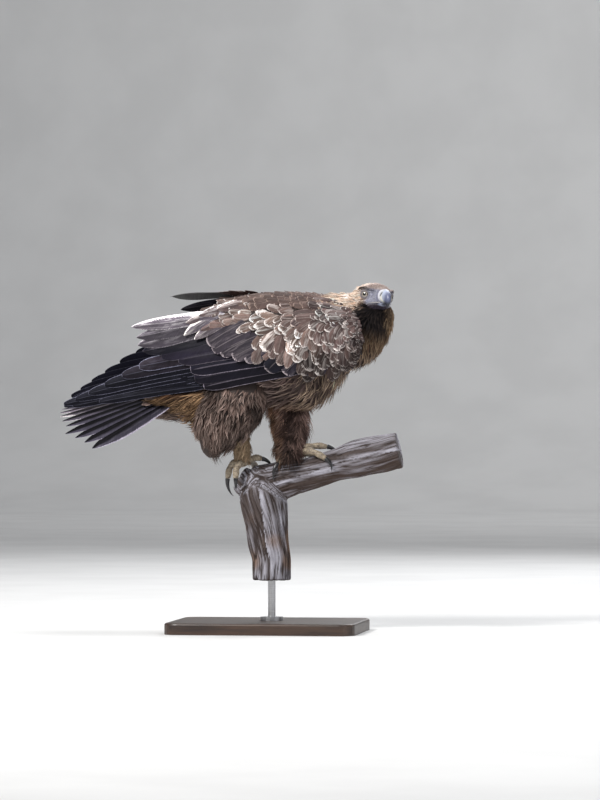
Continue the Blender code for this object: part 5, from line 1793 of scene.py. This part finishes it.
undertail = dict(
    roots=1100, length=0.052, halfWidth=0.0023, bulge=(0.0, -0.01, -0.002),
    # front top, front bottom; rear top, rear bottom
    corners=[[(-0.07, -0.064, 0.515), (-0.104, -0.044, 0.432)],
             [(-0.222, -0.074, 0.494), (-0.206, -0.038, 0.478)]],
    lie=dict(sunk=-0.003, rise=0.011, sway=0.15, turn=0.1, clump=0.8, clumpSize=0.014))


def makeUndertail():
    # long soft coverts over the side and underside of the tail's root, in a patch between four corners
    random = np.random.default_rng(105)
    s, t = np.linspace(0.0, 1.0, 40)[:, None, None], np.linspace(0.0, 1.0, 24)[None, :, None]
    corners = np.array(undertail["corners"])
    upper = mix(corners[0, 0], corners[1, 0], s)
    lower = mix(corners[0, 1], corners[1, 1], s)
    grid = mix(upper, lower, t) + np.array(undertail["bulge"]) * np.sin(math.pi * t) * (1 - 0.5 * s)
    sheet = makeSheet(grid, False, (0.0, -1.0, -0.4))
    u, v = spread(undertail["roots"], 17, (0.0, 0.95))
    point, = readSheet(sheet, u, v, "points")
    streak = ease(cloud(point * [1.0, 1.0, 3.0], 0.014, 4), 0.25, 0.75)[:, None]
    body = mix(coat["ventBody"] * 0.35, coat["ventBody"] * 1.4, streak)
    edge = mix(coat["ventEdge"] * 0.3, coat["ventEdge"] * 1.3, streak)
    looks = feathersLook(random, len(u), body, edge, random.uniform(0.2, 1.0, len(u)), 0.2)
    length = undertail["length"] * random.uniform(0.7, 1.25, len(u))
    batch = layFeathers(sheet, u, v, undertailWay, "lock", length, undertail["halfWidth"], looks, 106,
                        **undertail["lie"])
    featherPiece("undertail_locks", [batch], locksFinish)


def undertailWay(point):
    return np.array([-0.76, 0.0, -0.65]) + 0 * point


makeUndertail()


legCoat = dict(
    roots=3900, length=(0.028, 0.038), halfWidth=0.0023, highest=0.522,
    lie=dict(sunk=-0.004, rise=0.011, sway=0.22, turn=0.15, clump=0.75, clumpSize=0.013),
    shankRoots=900, shankLength=0.018, shankHalfWidth=0.0016,
    shankLie=dict(sunk=-0.0015, rise=0.0065, sway=0.2, clump=0.5, clumpSize=0.007))


def makeTrousers(sideName, seed):
    random = np.random.default_rng(seed)
    sheet = makeSheet(legRings(trousers[sideName], 0.0, 50, 64), True)
    u, v = spread(legCoat["roots"], seed)
    point, normal = readSheet(sheet, u, v, "points", "normal")
    if sideName == "right":
        body, edge = (colour + 0 * point for colour in coatOf("thigh"))
    else:
        rear = ease(-normal[:, 0], -0.1, 0.6)[:, None]
        body = mix(coat["leftLegBody"], tint(124, 96, 78), rear)
        edge = mix(coat["leftLegBody"] * 2.2, coat["leftLegEdge"], rear)
        # painted light and shade on the far leg: lighter by 1.6 above, darker by 0.6 below
        lower = mix(0.6, 1.6, ease(point[:, 2], 0.4, 0.45))[:, None]
        body, edge = body * lower, edge * lower
    keep = point[:, 2] < legCoat["highest"]
    u, v, point, body, edge = u[keep], v[keep], point[keep], body[keep], edge[keep]
    tone = (0.22 + 1.35 * ease(cloud(point, 0.018, seed), 0.15, 0.85))[:, None]
    looks = feathersLook(random, len(u), body * tone, edge * tone, random.uniform(0.1, 0.9, len(u)), 0.28)
    length = mix(*legCoat["length"], u) * mix(1.0, random.uniform(0.6, 1.3, len(u)), u)
    batch = layFeathers(sheet, u, v, downward, "lock", length, legCoat["halfWidth"], looks, seed + 1,
                        **legCoat["lie"])
    featherPiece("trousers_" + sideName, [batch], locksFinish)

    sheet = makeSheet(legRings(legs["shank_" + sideName], 0.002, 40, 40), True)
    u, v = spread(legCoat["shankRoots"], seed + 2, (0.0, 0.9))
    looks = feathersLook(random, len(u), *coatOf("shank"), random.uniform(0.1, 0.9, len(u)), 0.2)
    batch = layFeathers(sheet, u, v, downward, "lock", legCoat["shankLength"], legCoat["shankHalfWidth"],
                        looks, seed + 3, **legCoat["shankLie"])
    featherPiece("shank_feathers_" + sideName, [batch], locksFinish)


makeTrousers("right", 110)
makeTrousers("left", 120)


# Floor
sweep = dict(halfWidth=14.0, front=-14.0, bendAt=10.0, bend=2.5, wallHeight=12.0)


def makeFloor():
    # level underfoot, then a quarter circle and a wall behind, all clear of a camera on the far side
    turn = np.radians(np.linspace(0, 90, 24))
    bendAt, bend = sweep["bendAt"], sweep["bend"]
    depth = np.concatenate([[sweep["front"]], bendAt + bend * np.sin(turn), [bendAt + bend]])
    height = np.concatenate([[0.0], bend * (1 - np.cos(turn)), [sweep["wallHeight"]]])
    points = np.stack([np.stack([np.full_like(depth, side), depth, height], -1)
                       for side in (-sweep["halfWidth"], sweep["halfWidth"])], 1)
    a = 2 * np.arange(len(depth) - 1)[:, None]
    mesh = bpy.data.meshes.new("floor")
    mesh.from_pydata(points.reshape(-1, 3).tolist(), [], (a + [0, 1, 3, 2]).tolist())
    mesh.polygons.foreach_set("use_smooth", np.ones(len(mesh.polygons), bool))
    floor = bpy.data.objects.new("floor", mesh)
    bpy.context.scene.collection.objects.link(floor)
    material, tree, shader = newMaterial("paleFloor", 0.8)
    place = addNode(tree, "TexCoord").outputs["Object"]
    mottle = ramp(tree, noise(tree, place, 3.0), 0.3, 0.7)
    colour = blendColour(tree, mottle, (0.74, 0.74, 0.735), (0.79, 0.79, 0.785))
    tree.links.new(colour, shader.inputs["Base Color"])
    mesh.materials.append(material)


makeFloor()
